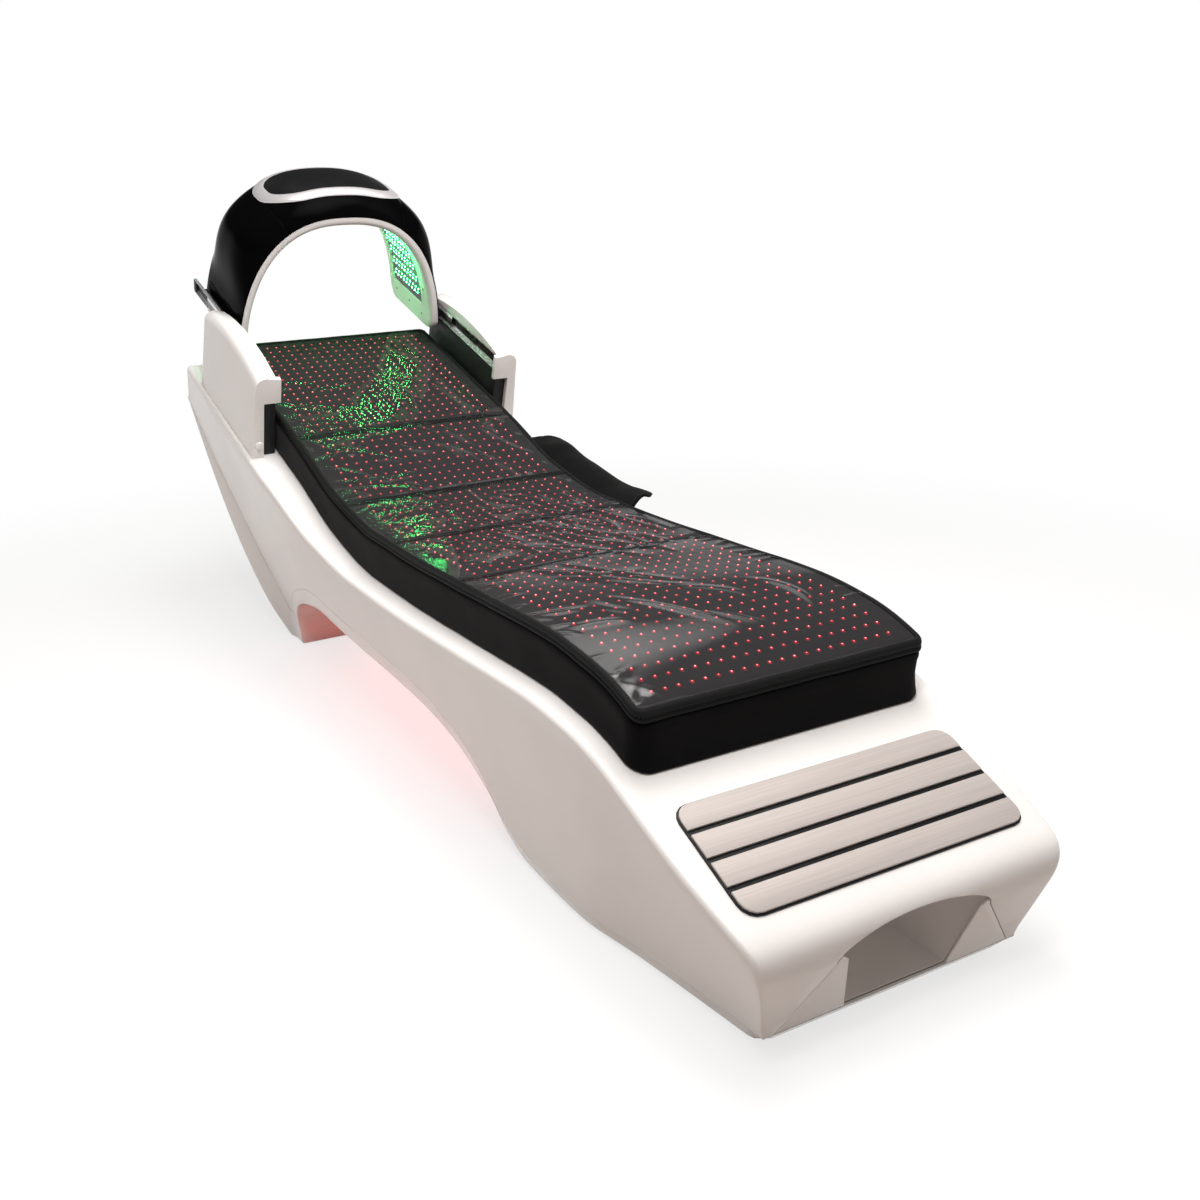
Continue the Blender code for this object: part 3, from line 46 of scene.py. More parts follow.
# Camera
# A normal lens at chest height, beyond the near corner of the foot end, looking down along the bed. The sideways shift
# is the photograph's own framing.
def add_object(name, data):
    piece = bpy.data.objects.new(name, data)
    scene.collection.objects.link(piece)
    return piece


lens = bpy.data.cameras.new("camera")
lens.sensor_width, lens.lens, lens.shift_x = 36.0, 38.64, 0.05
camera = add_object("camera", lens)
view_right, view_up = Vector((0.48496, 0.87420, -0.02415)), Vector((-0.26895, 0.17536, 0.94706))
view_back = Vector((0.83215, -0.45279, 0.32016))
camera.matrix_world = Matrix.Translation((2.42658, -1.22933, 1.19469)) @ Matrix(
    (view_right, view_up, view_back)).transposed().to_4x4()
scene.camera = camera


# Floor and studio light
# A plain white sweep with white walls and a dim ceiling, lit by soft boxes. The camera and bright surfaces see the
# floor and walls white; only the bed's own shadow darkens the floor.
SWEEP_HALF, SHADOW_TO, WHITE_FROM, SHADOW_SHARE = 30.0, 1.3, 3.0, 0.72
FLOOR_TONE, BOUNCE_TONE, AMBIENT_TONE, AMBIENT = (0.93, 0.93, 0.93), (0.50, 0.43, 0.385), (1.0, 0.90, 0.84), 0.22
CEILING_FROM, CEILING_TO, CEILING_LEVEL = 0.15, 0.30, 0.10
LAMP_TONE, FADE_GAIN = (1.0, 0.98, 0.965), 2.25


def add_node(tree, kind, sockets=None, **settings):
    """Node with its settings. Its inputs, by name or number, are values or other nodes' outputs."""
    node = tree.nodes.new(kind)
    for name, value in settings.items():
        setattr(node, name, value)
    for slot, value in (sockets or {}).items():
        if isinstance(value, bpy.types.NodeSocket):
            tree.links.new(value, node.inputs[slot])
        else:
            node.inputs[slot].default_value = value
    return node


def feed(target, **outputs):
    """Link outputs to inputs of a node, or of a material's shader: by name, with _ for a space."""
    node = target.node_tree.nodes["Principled BSDF"] if isinstance(target, bpy.types.Material) else target
    for label, output in outputs.items():
        node.id_data.links.new(output, node.inputs[label.replace("_", " ")])


def math_node(operation, *values):
    """Math on values and outputs, in the tree of the first output."""
    tree = next(value for value in values if isinstance(value, bpy.types.NodeSocket)).id_data
    return add_node(tree, "ShaderNodeMath", dict(enumerate(values)), operation=operation).outputs[0]


def remap(value, low, high, to_low, to_high, curve="LINEAR"):
    """Value carried from one range to another, clamped."""
    sockets = {"Value": value, "From Min": low, "From Max": high, "To Min": to_low, "To Max": to_high}
    return add_node(value.id_data, "ShaderNodeMapRange", sockets, interpolation_type=curve).outputs["Result"]


def mix_tones(share, first, second):
    """Colour between two tones, each a value or an output."""
    ends = [tone if isinstance(tone, bpy.types.NodeSocket) else (*tone, 1) for tone in (first, second)]
    sockets = {"Factor": share, "A": ends[0], "B": ends[1]}
    return add_node(share.id_data, "ShaderNodeMix", sockets, data_type="RGBA").outputs["Result"]


def mix_surface(tree, share, first, second, output):
    blend = add_node(tree, "ShaderNodeMixShader", {0: share, 1: first.outputs[0], 2: second.outputs[0]})
    feed(tree.nodes[output], Surface=blend.outputs[0])


def own_place(tree):
    return add_node(tree, "ShaderNodeTexCoord").outputs["Object"]


def seen_rays(tree):
    """Mask of the rays that the camera sends out, through gloss and clear sheet too, and of the straight ones."""
    rays = add_node(tree, "ShaderNodeLightPath").outputs
    seen = math_node("MAXIMUM", rays["Is Camera Ray"], rays["Is Glossy Ray"])
    return math_node("MAXIMUM", seen, rays["Is Transmission Ray"]), rays["Is Camera Ray"]


def new_material(name, colour, roughness, metallic=0.0, **sockets):
    material = bpy.data.materials.new(name)
    material.use_nodes = True
    values = {"Base_Color": (*colour, 1), "Roughness": roughness, "Metallic": metallic, **sockets}
    for label, value in values.items():
        material.node_tree.nodes["Principled BSDF"].inputs[label.replace("_", " ")].default_value = value
    return material


floor_white = new_material("floor_white", FLOOR_TONE, 0.9, Specular_IOR_Level=0.0)
tree = floor_white.node_tree
seen, straight = seen_rays(tree)
feed(floor_white, Base_Color=mix_tones(seen, BOUNCE_TONE, FLOOR_TONE))
radius = add_node(tree, "ShaderNodeVectorMath", {0: own_place(tree)}, operation="LENGTH").outputs["Value"]
share = remap(radius, SHADOW_TO, WHITE_FROM, SHADOW_SHARE, 1.0, "SMOOTHSTEP")
mix_surface(tree, math_node("MULTIPLY", share, seen), tree.nodes["Principled BSDF"],
            add_node(tree, "ShaderNodeEmission"), "Material Output")
floor_mesh = bpy.data.meshes.new("floor")
floor_mesh.from_pydata([(x * SWEEP_HALF, y * SWEEP_HALF, 0) for x, y in ((-1, -1), (1, -1), (1, 1), (-1, 1))], [],
                       [(0, 1, 2, 3)])
floor_mesh.materials.append(floor_white)
floor = add_object("floor", floor_mesh)

scene.world = bpy.data.worlds.new("studio")
scene.world.use_nodes = True
tree = scene.world.node_tree
bounce = tree.nodes["Background"]
bounce.inputs["Color"].default_value, bounce.inputs["Strength"].default_value = (*AMBIENT_TONE, 1), AMBIENT
seen, straight = seen_rays(tree)
way = add_node(tree, "ShaderNodeTexCoord").outputs["Generated"]
height = add_node(tree, "ShaderNodeSeparateXYZ", {"Vector": way}).outputs["Z"]
dim = remap(height, CEILING_FROM, CEILING_TO, 1.0, CEILING_LEVEL, "SMOOTHSTEP")
white = add_node(tree, "ShaderNodeBackground", {
    "Color": (1, 1, 1, 1), "Strength": math_node("MAXIMUM", dim, straight)})
mix_surface(tree, seen, bounce, white, "World Output")


def softbox(name, place, target, size, power, mirrored=False):
    """Area lamp that fades towards its edges at the same power, seen or not seen in gloss."""
    lamp = bpy.data.lights.new(name, "AREA")
    lamp.shape, lamp.size, lamp.size_y, lamp.energy = "RECTANGLE", *size, power
    lamp.color, lamp.use_nodes = LAMP_TONE, True
    tree = lamp.node_tree
    spot = add_node(tree, "ShaderNodeNewGeometry").outputs["Parametric"]
    across = add_node(tree, "ShaderNodeSeparateXYZ", {0: spot}).outputs
    fades = []
    for axis in "XY":
        off = math_node("SUBTRACT", math_node("MULTIPLY", across[axis], 2.0), 1.0)
        fades.append(math_node("SUBTRACT", 1.0, math_node("MULTIPLY", off, off)))
    glow = math_node("MULTIPLY", math_node("MULTIPLY", *fades), FADE_GAIN)
    feed(tree.nodes["Emission"], Strength=glow)
    box = add_object(name, lamp)
    box.location, box.visible_glossy = place, mirrored
    box.rotation_euler = (Vector(target) - Vector(place)).to_track_quat("-Z", "Y").to_euler()


softbox("softbox_top", (0.3, 0.2, 3.2), (0.2, 0.0, 0.4), (2.4, 1.8), 87, True)
softbox("softbox_sheen", (-0.44, 0.64, 1.76), (0.91, -0.28, 0.69), (1.0, 1.0), 4.2, True)
softbox("softbox_side", (-1.6, -3.2, 1.9), (-0.1, 0.0, 0.35), (2.4, 1.6), 18)
softbox("softbox_far", (1.6, 3.0, 2.3), (-0.3, 0.0, 0.6), (1.8, 1.4), 22)
softbox("softbox_front", (1.5, -0.9, 2.7), (-0.95, 0.0, 0.85), (1.0, 1.0), 42)


# Body mouldings
# Two gloss white vacuum-formed mouldings: the upper one makes the deck, the sides and the rounded nose, and the lower
# pan closes it underneath, swelled at both sides below the head end. They meet in a fine open line and are screwed to
# the frame inside.
TIP, STERN, FRONT_LOW, FRONT_HIGH = (-1.2805, 0.59), (-0.752, 0.083), (1.243, 0.027), (1.276, 0.135)
HEAD_SLOPE, FOOT_SLOPE = math.radians(17.5), math.radians(24.0)
HEAD_DECK, FOOT_DECK = (-0.638, 0.534), (1.222, 0.219)
DECK_CURVE = [(-0.26, 0.405), (-0.04, 0.369), (0.16, 0.366), (0.45, 0.373), (0.70, 0.380), (0.84, 0.369)]
DECK_END, HEAD_STRAIGHT_END, FOOT_STRAIGHT_START = -1.15, -0.50, 0.98
ARCH_EDGE = [(-0.728, 0.086), (-0.70, 0.128), (-0.587, 0.192), (-0.40, 0.235), (-0.18, 0.226), (0.17, 0.217),
             (0.35, 0.189), (0.471, 0.133), (0.532, 0.070), (0.62, 0.036), (0.76, 0.027)]
BELLY = [(-0.690, 0.006), (-0.678, 0.085), (-0.63, 0.135), (-0.54, 0.165), (-0.40, 0.185), (-0.18, 0.178),
         (0.17, 0.170), (0.33, 0.148), (0.44, 0.095), (0.52, 0.033), (0.60, 0.006)]
DECK_HALF = [(-1.285, 0.366), (-0.64, 0.372), (0.0, 0.340), (0.42, 0.337), (0.81, 0.331), (1.0, 0.326),
             (1.11, 0.322), (1.226, 0.309), (1.285, 0.300)]
FLOOR_HALF = [(-1.285, 0.240), (-0.73, 0.240), (0.42, 0.280), (0.81, 0.295), (0.97, 0.272), (1.10, 0.255),
              (1.22, 0.241), (1.285, 0.236)]
BODY_WALL, BODY_SEAM, BODY_EDGE, SHOULDER = 0.004, 0.0006, 0.0012, 0.010
ROW_STEP, ROW_LEAST, ROW_SHY, NOSE_ROWS = 0.0165, 0.002, 0.004, 20
NOSE_SPREAD, NOSE_PULL, FRONT_PULL = 0.240, 0.040, 0.060
BASE_FRONT, BASE_Z, CHINE_LEAN, PAN_CORNER, PAN_EDGE = 1.226, 0.006, 0.35, 0.024, 0.007
STERN_FOOT, STERN_SWELL, UPRIGHT_TO, LEANS_FROM = -0.775, 0.060, -0.86, -0.52


def fair_line(points, x, slope_in=None, slope_out=None):
    """Smooth curve through (x, value) points, without overshoot, straight beyond its ends."""
    if x <= points[0][0]:
        return points[0][1] + (slope_in or 0.0) * (x - points[0][0])
    if x >= points[-1][0]:
        return points[-1][1] + (slope_out or 0.0) * (x - points[-1][0])
    chord = [(b[1] - a[1]) / (b[0] - a[0]) for a, b in zip(points, points[1:])]
    tangent = [chord[0] if slope_in is None else slope_in]
    for before, after in zip(chord, chord[1:]):
        tangent.append(0.0 if before * after <= 0.0 else 2.0 * before * after / (before + after))
    tangent.append(chord[-1] if slope_out is None else slope_out)
    i = max(k for k in range(len(chord)) if points[k][0] <= x)
    span = points[i + 1][0] - points[i][0]
    t = (x - points[i][0]) / span
    return ((2 * t ** 3 - 3 * t ** 2 + 1) * points[i][1] + (t ** 3 - 2 * t ** 2 + t) * span * tangent[i]
            + (3 * t ** 2 - 2 * t ** 3) * points[i + 1][1] + (t ** 3 - t ** 2) * span * tangent[i + 1])


def lerp(a, b, t):
    return a + (b - a) * t


def clamp(value, low=0.0, high=1.0):
    return min(max(value, low), high)


def deck_z(x):
    if x <= HEAD_STRAIGHT_END:
        return HEAD_DECK[1] - math.tan(HEAD_SLOPE) * (x - HEAD_DECK[0])
    if x >= FOOT_STRAIGHT_START:
        return FOOT_DECK[1] - math.tan(FOOT_SLOPE) * (x - FOOT_DECK[0])
    start, end = [(at, deck_z(at)) for at in (HEAD_STRAIGHT_END, FOOT_STRAIGHT_START)]
    return fair_line([start] + DECK_CURVE + [end], x, -math.tan(HEAD_SLOPE), -math.tan(FOOT_SLOPE))


def top_z(x):
    if x < DECK_END:
        return lerp(TIP[1], deck_z(DECK_END), (x - TIP[0]) / (DECK_END - TIP[0]))
    return deck_z(x)


def edge_z(x):
    if x <= STERN[0]:
        return lerp(TIP[1], STERN[1], (x - TIP[0]) / (STERN[0] - TIP[0]))
    return fair_line([STERN] + ARCH_EDGE + [FRONT_LOW], x)


def base_z(x):
    if x <= STERN_FOOT:
        return lerp(TIP[1], BASE_Z, (x - TIP[0]) / (STERN_FOOT - TIP[0]))
    return BASE_Z if x <= BELLY[0][0] or x >= BELLY[-1][0] else fair_line(BELLY, x)


def half_width(x, z):
    low = fair_line(FLOOR_HALF, x)
    return low + (fair_line(DECK_HALF, x) - low) * z / deck_z(x)


def nose_line(rows):
    """Side view of the nose, from the straight deck round to the front edge."""
    front = (Vector(FRONT_HIGH) - Vector(FRONT_LOW)).normalized()
    a, d = Vector(FOOT_DECK), Vector(FRONT_HIGH)
    b, c = a + Vector((math.cos(FOOT_SLOPE), -math.sin(FOOT_SLOPE))) * NOSE_PULL, d + front * FRONT_PULL
    points = [a * (1 - t) ** 3 + b * 3 * t * (1 - t) ** 2 + c * 3 * t * t * (1 - t) + d * t ** 3
              for t in np.linspace(0, 1, rows)]
    return points + [d.lerp(Vector(FRONT_LOW), t) for t in (0.2, 0.4, 0.6, 0.8, 0.95, 1.0)]


def body_rows():
    """Pairs of side-view points: the deck or front face, and the lower edge of the upper moulding."""
    start = FRONT_LOW[0] - NOSE_SPREAD
    creases = [DECK_END - ROW_SHY, DECK_END, DECK_END + ROW_SHY, STERN[0], STERN_FOOT, BELLY[0][0], -0.684, BELLY[1][0]]
    places = sorted(set(np.arange(TIP[0], start, ROW_STEP).tolist() + creases))
    places = [a for a, b in zip(places, places[1:] + [start]) if b - a > ROW_LEAST]
    rows = [((x, top_z(x)), (x, edge_z(x))) for x in places]
    nose = [Vector((x, top_z(x))) for x in np.arange(start, FOOT_DECK[0] - ROW_SHY, ROW_STEP)] + nose_line(NOSE_ROWS)
    for k, point in enumerate(nose):
        x = lerp(start, FRONT_LOW[0], (k + 1) / len(nose))
        rows.append((tuple(point), (x, edge_z(x))))
    return rows


def both_sides(side, middle):
    return [(x, -y, z) for x, y, z in side] + [middle] + side[::-1]


def upper_section(top, edge):
    """Across the upper moulding, from its left lower edge over the deck to the right one."""
    height = math.dist(top, edge)
    radius = min(SHOULDER, 0.4 * height)
    drop = 0.0 if height == 0.0 else radius / height
    side = []
    for t in (1.0, 0.97, 0.85, 0.7, 0.55, 0.4, 0.25, 0.12, 0.0):
        t = lerp(drop, 1.0, t)
        x, z = lerp(top[0], edge[0], t), lerp(top[1], edge[1], t)
        side.append((x, half_width(x, z), z))
    wide, flat = side[-1][1], half_width(*top) - radius
    for k in range(1, 6):
        a = math.pi / 2 * k / 5
        t = drop * (1.0 - math.sin(a))
        side.append((lerp(top[0], edge[0], t), lerp(flat, wide, math.cos(a)), lerp(top[1], edge[1], t)))
    side += [(top[0], flat * q, top[1]) for q in (0.97, 0.8, 0.55, 0.28)]
    return both_sides(side, (top[0], 0.0, top[1]))


def lower_section(edge, base):
    """Across the pan: its sides lean in, and below the head end they swell beside a flat middle."""
    wide, rim = half_width(*edge), edge[1] - BODY_SEAM
    near = clamp(BASE_FRONT - base[0], 0.0, PAN_CORNER)
    corner = PAN_CORNER - math.sqrt(PAN_CORNER ** 2 - (PAN_CORNER - near) ** 2)
    lean = CHINE_LEAN * clamp((base[0] - UPRIGHT_TO) / (LEANS_FROM - UPRIGHT_TO))
    low = wide - lean * (rim - base[1]) - corner
    swell = STERN_SWELL * math.sin(math.pi * clamp((base[0] - TIP[0]) / (STERN_FOOT - TIP[0])))
    side = [(lerp(edge[0], base[0], t), lerp(wide, low, t), lerp(rim, base[1] - swell, t))
            for t in (0.0, 0.08, 0.3, 0.6, 1.0)]
    side += [(base[0], low * q, base[1] - swell * share)
             for q, share in ((0.96, 1.0), (0.85, 0.96), (0.7, 0.76), (0.52, 0.26), (0.38, 0.0))]
    return both_sides(side, (base[0], 0.0, base[1]))


def tidy_mesh(piece, smooth):
    bm = bmesh.new()
    bm.from_mesh(piece.data)
    bmesh.ops.remove_doubles(bm, verts=bm.verts, dist=0.00002)
    bmesh.ops.dissolve_degenerate(bm, edges=bm.edges, dist=0.00001)
    bm.to_mesh(piece.data)
    bm.free()
    shade(piece.data, smooth)


def shade(mesh, smooth):
    mesh.shade_smooth()
    mesh.set_sharp_from_angle(angle=math.radians(smooth))


def new_piece(name, points, faces, material, smooth=40):
    mesh = bpy.data.meshes.new(name)
    mesh.from_pydata([tuple(p) for p in points], [], faces)
    mesh.materials.append(material)
    piece = add_object(name, mesh)
    tidy_mesh(piece, smooth)
    return piece


def sheet_faces(rows, columns, start=0):
    """Faces of a grid of rows, seen from the side where the rows run away and the columns to the left."""
    return [(start + i * columns + j, start + (i + 1) * columns + j, start + (i + 1) * columns + j + 1,
             start + i * columns + j + 1) for i in range(rows - 1) for j in range(columns - 1)]


def new_sheet(name, rows, material, smooth=40):
    return new_piece(name, [p for row in rows for p in row], sheet_faces(len(rows), len(rows[0])), material, smooth)


def new_tube(name, rings, material, smooth=40, closed=False):
    """Body through rings of points, the last ring joined to the first or both ends capped, with its faces outward."""
    count, size = len(rings), len(rings[0])
    faces = [(i * size + j, i * size + (j + 1) % size, (i + 1) % count * size + (j + 1) % size,
              (i + 1) % count * size + j) for i in range(count if closed else count - 1) for j in range(size)]
    if not closed:
        faces += [tuple(range(size - 1, -1, -1)), tuple((count - 1) * size + j for j in range(size))]
    piece = new_piece(name, [p for ring in rings for p in ring], faces, material, smooth)
    bm = bmesh.new()
    bm.from_mesh(piece.data)
    bmesh.ops.recalc_face_normals(bm, faces=bm.faces)
    if bm.calc_volume(signed=True) < 0:
        bmesh.ops.reverse_faces(bm, faces=bm.faces)
    bm.to_mesh(piece.data)
    bm.free()
    shade(piece.data, smooth)
    return piece


def bevel(piece, width, segments, angle):
    step = piece.modifiers.new("bevel", "BEVEL")
    step.width, step.segments, step.limit_method, step.angle_limit = width, segments, "ANGLE", math.radians(angle)


def thicken(piece, thickness):
    step = piece.modifiers.new("solidify", "SOLIDIFY")
    step.thickness, step.offset = thickness, -1.0


def settle(piece, smooth=40):
    """Make the modifiers' result the piece's own mesh."""
    mesh = bpy.data.meshes.new_from_object(piece.evaluated_get(bpy.context.evaluated_depsgraph_get()))
    piece.modifiers.clear()
    old, piece.data = piece.data, mesh
    bpy.data.meshes.remove(old)
    mesh.name = piece.name
    shade(mesh, smooth)


def dress(piece, body, *nodes, slot=None):
    """Say which body a piece rides on and the nodes it replaces; slot is not used."""
    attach(piece, body)
    if nodes:
        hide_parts(*nodes)


def new_group(name, inputs, outputs):
    """Shader node group with named sockets: a name and its start value for each input."""
    group = bpy.data.node_groups.new(name, "ShaderNodeTree")
    for label, value in inputs.items():
        kind = "NodeSocketFloat" if isinstance(value, float) else "NodeSocketColor"
        group.interface.new_socket(label, in_out="INPUT", socket_type=kind).default_value = value
    for label in outputs:
        kind = "NodeSocketColor" if label == "Colour" else "NodeSocketFloat"
        group.interface.new_socket(label, in_out="OUTPUT", socket_type=kind)
    return group, group.nodes.new("NodeGroupInput").outputs, group.nodes.new("NodeGroupOutput")


def place_group(material, group, **values):
    sockets = {name.replace("_", " "): value for name, value in values.items()}
    return add_node(material.node_tree, "ShaderNodeGroup", sockets, node_tree=group).outputs


def texture(tree, kind, sockets, **settings):
    """Value of a texture over the object's own place."""
    sockets = {"Vector": own_place(tree), **sockets}
    return add_node(tree, "ShaderNodeTex" + kind, sockets, **settings).outputs["Fac"]


def link_bump(material, height, strength, depth):
    bump = add_node(material.node_tree, "ShaderNodeBump", {"Strength": strength, "Distance": depth, "Height": height})
    feed(material, Normal=bump.outputs["Normal"])


moulding_finish, given, made = new_group(
    "moulding_finish", {"Scale": 9.0, "Rough": 0.15, "Spread": 0.05, "Peel": 90.0}, ("Roughness", "Height", "Dust"))
cloud = texture(moulding_finish, "Noise", {"Scale": given["Scale"], "Detail": 5.0})
smear = math_node("MULTIPLY", remap(cloud, 0.3, 0.7, -1.0, 1.0), given["Spread"])
feed(made, Roughness=math_node("ADD", given["Rough"], smear),
     Height=texture(moulding_finish, "Noise", {"Scale": given["Peel"], "Detail": 2.0}),
     Dust=remap(cloud, 0.45, 0.75, 0.0, 1.0))


def moulded(name, colour, gloss, peel, dust=None, metallic=0.0, **sockets):
    """Material of a moulding. gloss: scale of its unevenness, roughness and spread. peel: scale, strength and depth of
    its orange peel. dust: tone of its dusty patches, if it has them."""
    material = new_material(name, colour, gloss[1], metallic, **sockets)
    outputs = place_group(material, moulding_finish, Scale=gloss[0], Rough=gloss[1], Spread=gloss[2], Peel=peel[0])
    feed(material, Roughness=outputs["Roughness"])
    link_bump(material, outputs["Height"], *peel[1:])
    if dust:
        feed(material, Base_Color=mix_tones(outputs["Dust"], colour, dust))
    return material


shell_white = moulded("shell_white", (0.85, 0.83, 0.815), (5.0, 0.17, 0.05), (60.0, 0.05, 0.0006),
                      (0.82, 0.80, 0.785), IOR=1.45)

rows = body_rows()
upper = new_sheet("body_upper", [upper_section(*row) for row in rows], shell_white)
thicken(upper, BODY_WALL)

NICHE_FOOT, NICHE_SHOULDER, NICHE_CROWN, NICHE_CUT = 0.232, (0.150, 0.112), 0.158, (1.093, 1.426)
front_lean = (Vector(FRONT_HIGH) - Vector(FRONT_LOW)).normalized()
niche_half = [(NICHE_FOOT, 0.0)] + [
    (NICHE_SHOULDER[0] * math.cos(a), NICHE_SHOULDER[1] + (NICHE_CROWN - NICHE_SHOULDER[1]) * math.sin(a))
    for a in np.linspace(0, math.pi / 2, 17)]
niche_half = [(y, FRONT_LOW[1] + front_lean.y * up) for y, up in niche_half]
foot_run = BASE_Z * (niche_half[0][0] - niche_half[1][0]) / (niche_half[1][1] - niche_half[0][1])
niche_half[0] = (niche_half[0][0] + foot_run, niche_half[0][1] - BASE_Z)
niche_loop = niche_half + [(-y, z) for y, z in niche_half[-2::-1]]
cutter = new_tube("niche_cutter", [[(x, y, z) for y, z in niche_loop] for x in NICHE_CUT], shell_white)
cut = upper.modifiers.new("boolean", "BOOLEAN")
cut.operation, cut.solver, cut.object = "DIFFERENCE", "EXACT", cutter
bevel(upper, BODY_EDGE, 2, 55)
settle(upper, 45)
bpy.data.objects.remove(cutter)
dress(upper, "bed", "upper_shell")

pan = [(edge, (edge[0], min(base_z(edge[0]), edge[1] - BODY_SEAM))) for _, edge in rows
       if edge[0] < BASE_FRONT - PAN_CORNER - ROW_SHY]
pan += [((x, edge_z(x)), (x, BASE_Z)) for x in (BASE_FRONT - PAN_CORNER, BASE_FRONT - PAN_CORNER / 2, BASE_FRONT)]
pan += [(FRONT_LOW, (FRONT_LOW[0], FRONT_LOW[1] - BODY_SEAM))]
lower = new_sheet("body_lower", [lower_section(*row)[::-1] for row in pan], shell_white)
bevel(lower, PAN_EDGE, 3, 28)
thicken(lower, BODY_WALL)
settle(lower, 45)
dress(lower, "bed", "lower_shell")


# Recess in the nose
# A smooth liner bonded behind the opening, and two wedge-shaped covers of the same white moulding that clip in beside
# it. Fine open lines run round them.
def softened(node, material, width, body="bed", segments=2, angle=35):
    """Copy of a solid with its edges rounded, as a moulding or a finished sheet has them."""
    bm = bmesh.new()
    bm.from_mesh(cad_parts[node].data)
    bmesh.ops.remove_doubles(bm, verts=bm.verts, dist=0.00001)
    bmesh.ops.dissolve_limit(bm, angle_limit=math.radians(0.6), verts=bm.verts, edges=bm.edges)
    mesh = bpy.data.meshes.new(node + "_form")
    bm.to_mesh(mesh)
    bm.free()
    mesh.materials.append(material)
    piece = add_object(node + "_form", mesh)
    bevel(piece, width, segments, angle)
    settle(piece, 50)
    dress(piece, body, node)


softened("niche_liner", shell_white, 0.0012)
for hand in ("left", "right"):
    softened("niche_cover_" + hand, shell_white, 0.0016, segments=3)


# Rubber feet, frame and electrics
# Rubber pads under the floor blocks, a welded frame of painted steel tube, and the cased supply and driver bolted to
# it. The mains inlet and its rocker switch clip into the slanted underside of the head end.
foot_rubber = moulded("foot_rubber", (0.018, 0.018, 0.018), (40.0, 0.78, 0.1), (500.0, 0.3, 0.0003),
                      (0.035, 0.034, 0.033))
frame_steel = moulded("frame_steel", (0.11, 0.11, 0.12), (14.0, 0.46, 0.1), (220.0, 0.2, 0.0004), (0.16, 0.15, 0.145),
                      0.5)
supply_case = moulded("supply_case", (0.45, 0.46, 0.47), (22.0, 0.36, 0.1), (300.0, 0.15, 0.0004), metallic=1.0)
moulded_black = moulded("moulded_black", (0.018, 0.018, 0.019), (25.0, 0.44, 0.08), (700.0, 0.35, 0.0002),
                        (0.026, 0.026, 0.026))
switch_black = moulded("switch_black", (0.022, 0.022, 0.024), (30.0, 0.3, 0.06), (600.0, 0.2, 0.0002),
                       (0.03, 0.03, 0.03))
for k in range(1, 5):
    softened(f"rubber_foot_{k}", foot_rubber, 0.0008)
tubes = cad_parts["frame"].data
tubes.materials.clear()
tubes.materials.append(frame_steel)
softened("power_supply", supply_case, 0.0015)
softened("led_driver", moulded_black, 0.002)
softened("power_inlet", moulded_black, 0.0008)
softened("power_switch", switch_black, 0.0008, "power_switch")


# Under-glow strips
# Two red LED strips in frosted channel, bonded under the arch along the bed. The LEDs show through the channel as
# brighter beads.
glow_red = new_material("glow_red", (0.75, 0.05, 0.04), 0.35, Emission_Strength=20.0)
tree = glow_red.node_tree
beads = texture(tree, "Wave", {"Scale": 19.0}, bands_direction="X")
feed(glow_red, Emission_Color=mix_tones(beads, (0.75, 0.012, 0.008), (1.0, 0.06, 0.035)))
for hand in ("left", "right"):
    softened("underglow_" + hand, glow_red, 0.001)


# Foot slats
# Four brushed, warm grey metal slats with rounded outer corners, bonded on a black backing sheet. The grain runs
# across the bed.
matte_black = moulded("matte_black", (0.010, 0.010, 0.011), (30.0, 0.56, 0.08), (500.0, 0.25, 0.0002),
                      (0.015, 0.015, 0.015), IOR=1.35)
brushed_slat = new_material("brushed_slat", (0.53, 0.48, 0.45), 0.5, 0.25)
tree = brushed_slat.node_tree
stretch = add_node(tree, "ShaderNodeMapping", {"Vector": own_place(tree), "Scale": (900.0, 5.0, 900.0)})
grain = texture(tree, "Noise", {"Vector": stretch.outputs["Vector"], "Scale": 1.0, "Detail": 4.0})
feed(brushed_slat, Roughness=remap(grain, 0.3, 0.7, 0.58, 0.74), Base_Color=mix_tones(
    remap(grain, 0.25, 0.75, 0.0, 1.0), (0.46, 0.415, 0.39), (0.60, 0.545, 0.515)))
link_bump(brushed_slat, grain, 0.12, 0.0002)
softened("foot_plate_backing", matte_black, 0.0008)
for k in range(1, 5):
    softened(f"foot_plate_{k}", brushed_slat, 0.0009)


# Mattress
# A foam block in a tight black velour cover with rounded upright corners. It lies loose on the deck, and its sides
# draw in a little between the sewn edges.
BED_HEAD, BED_FOOT, BED_HALF, BED_CORNER = -1.020, 0.977, 0.287, 0.034
MATTRESS_HEIGHT, MATTRESS_PROUD, MATTRESS_WAVE = 0.084, 0.003, 0.0007
MATTRESS_SIDE = ((0.007, 0.0003), (0.002, 0.0018), (0.0, 0.007), (0.0018, 0.018), (0.003, 0.042), (0.0018, 0.066),
                 (0.0, 0.076), (0.0018, 0.0815), (0.007, MATTRESS_HEIGHT))


def corner_width(x, start, end, half, corner_start, corner_end):
    for distance, corner in ((x - start, corner_start), (end - x, corner_end)):
        if corner and distance < corner:
            return half - corner + math.sqrt(max(0.0, corner ** 2 - (corner - distance) ** 2))
    return half


def pad_places(start, end, step, corner_start, corner_end):
    """Places along a pad, closer round its corners."""
    arc = [1.0 - math.cos(a) for a in np.linspace(0, math.pi / 2, 9)]
    head = [start + corner_start * a for a in arc] if corner_start else [start]
    foot = [end - corner_end * a for a in arc[::-1]] if corner_end else [end]
    count = max(2, round((foot[0] - head[-1]) / step))
    return head + [lerp(head[-1], foot[0], k / count) for k in range(1, count)] + foot


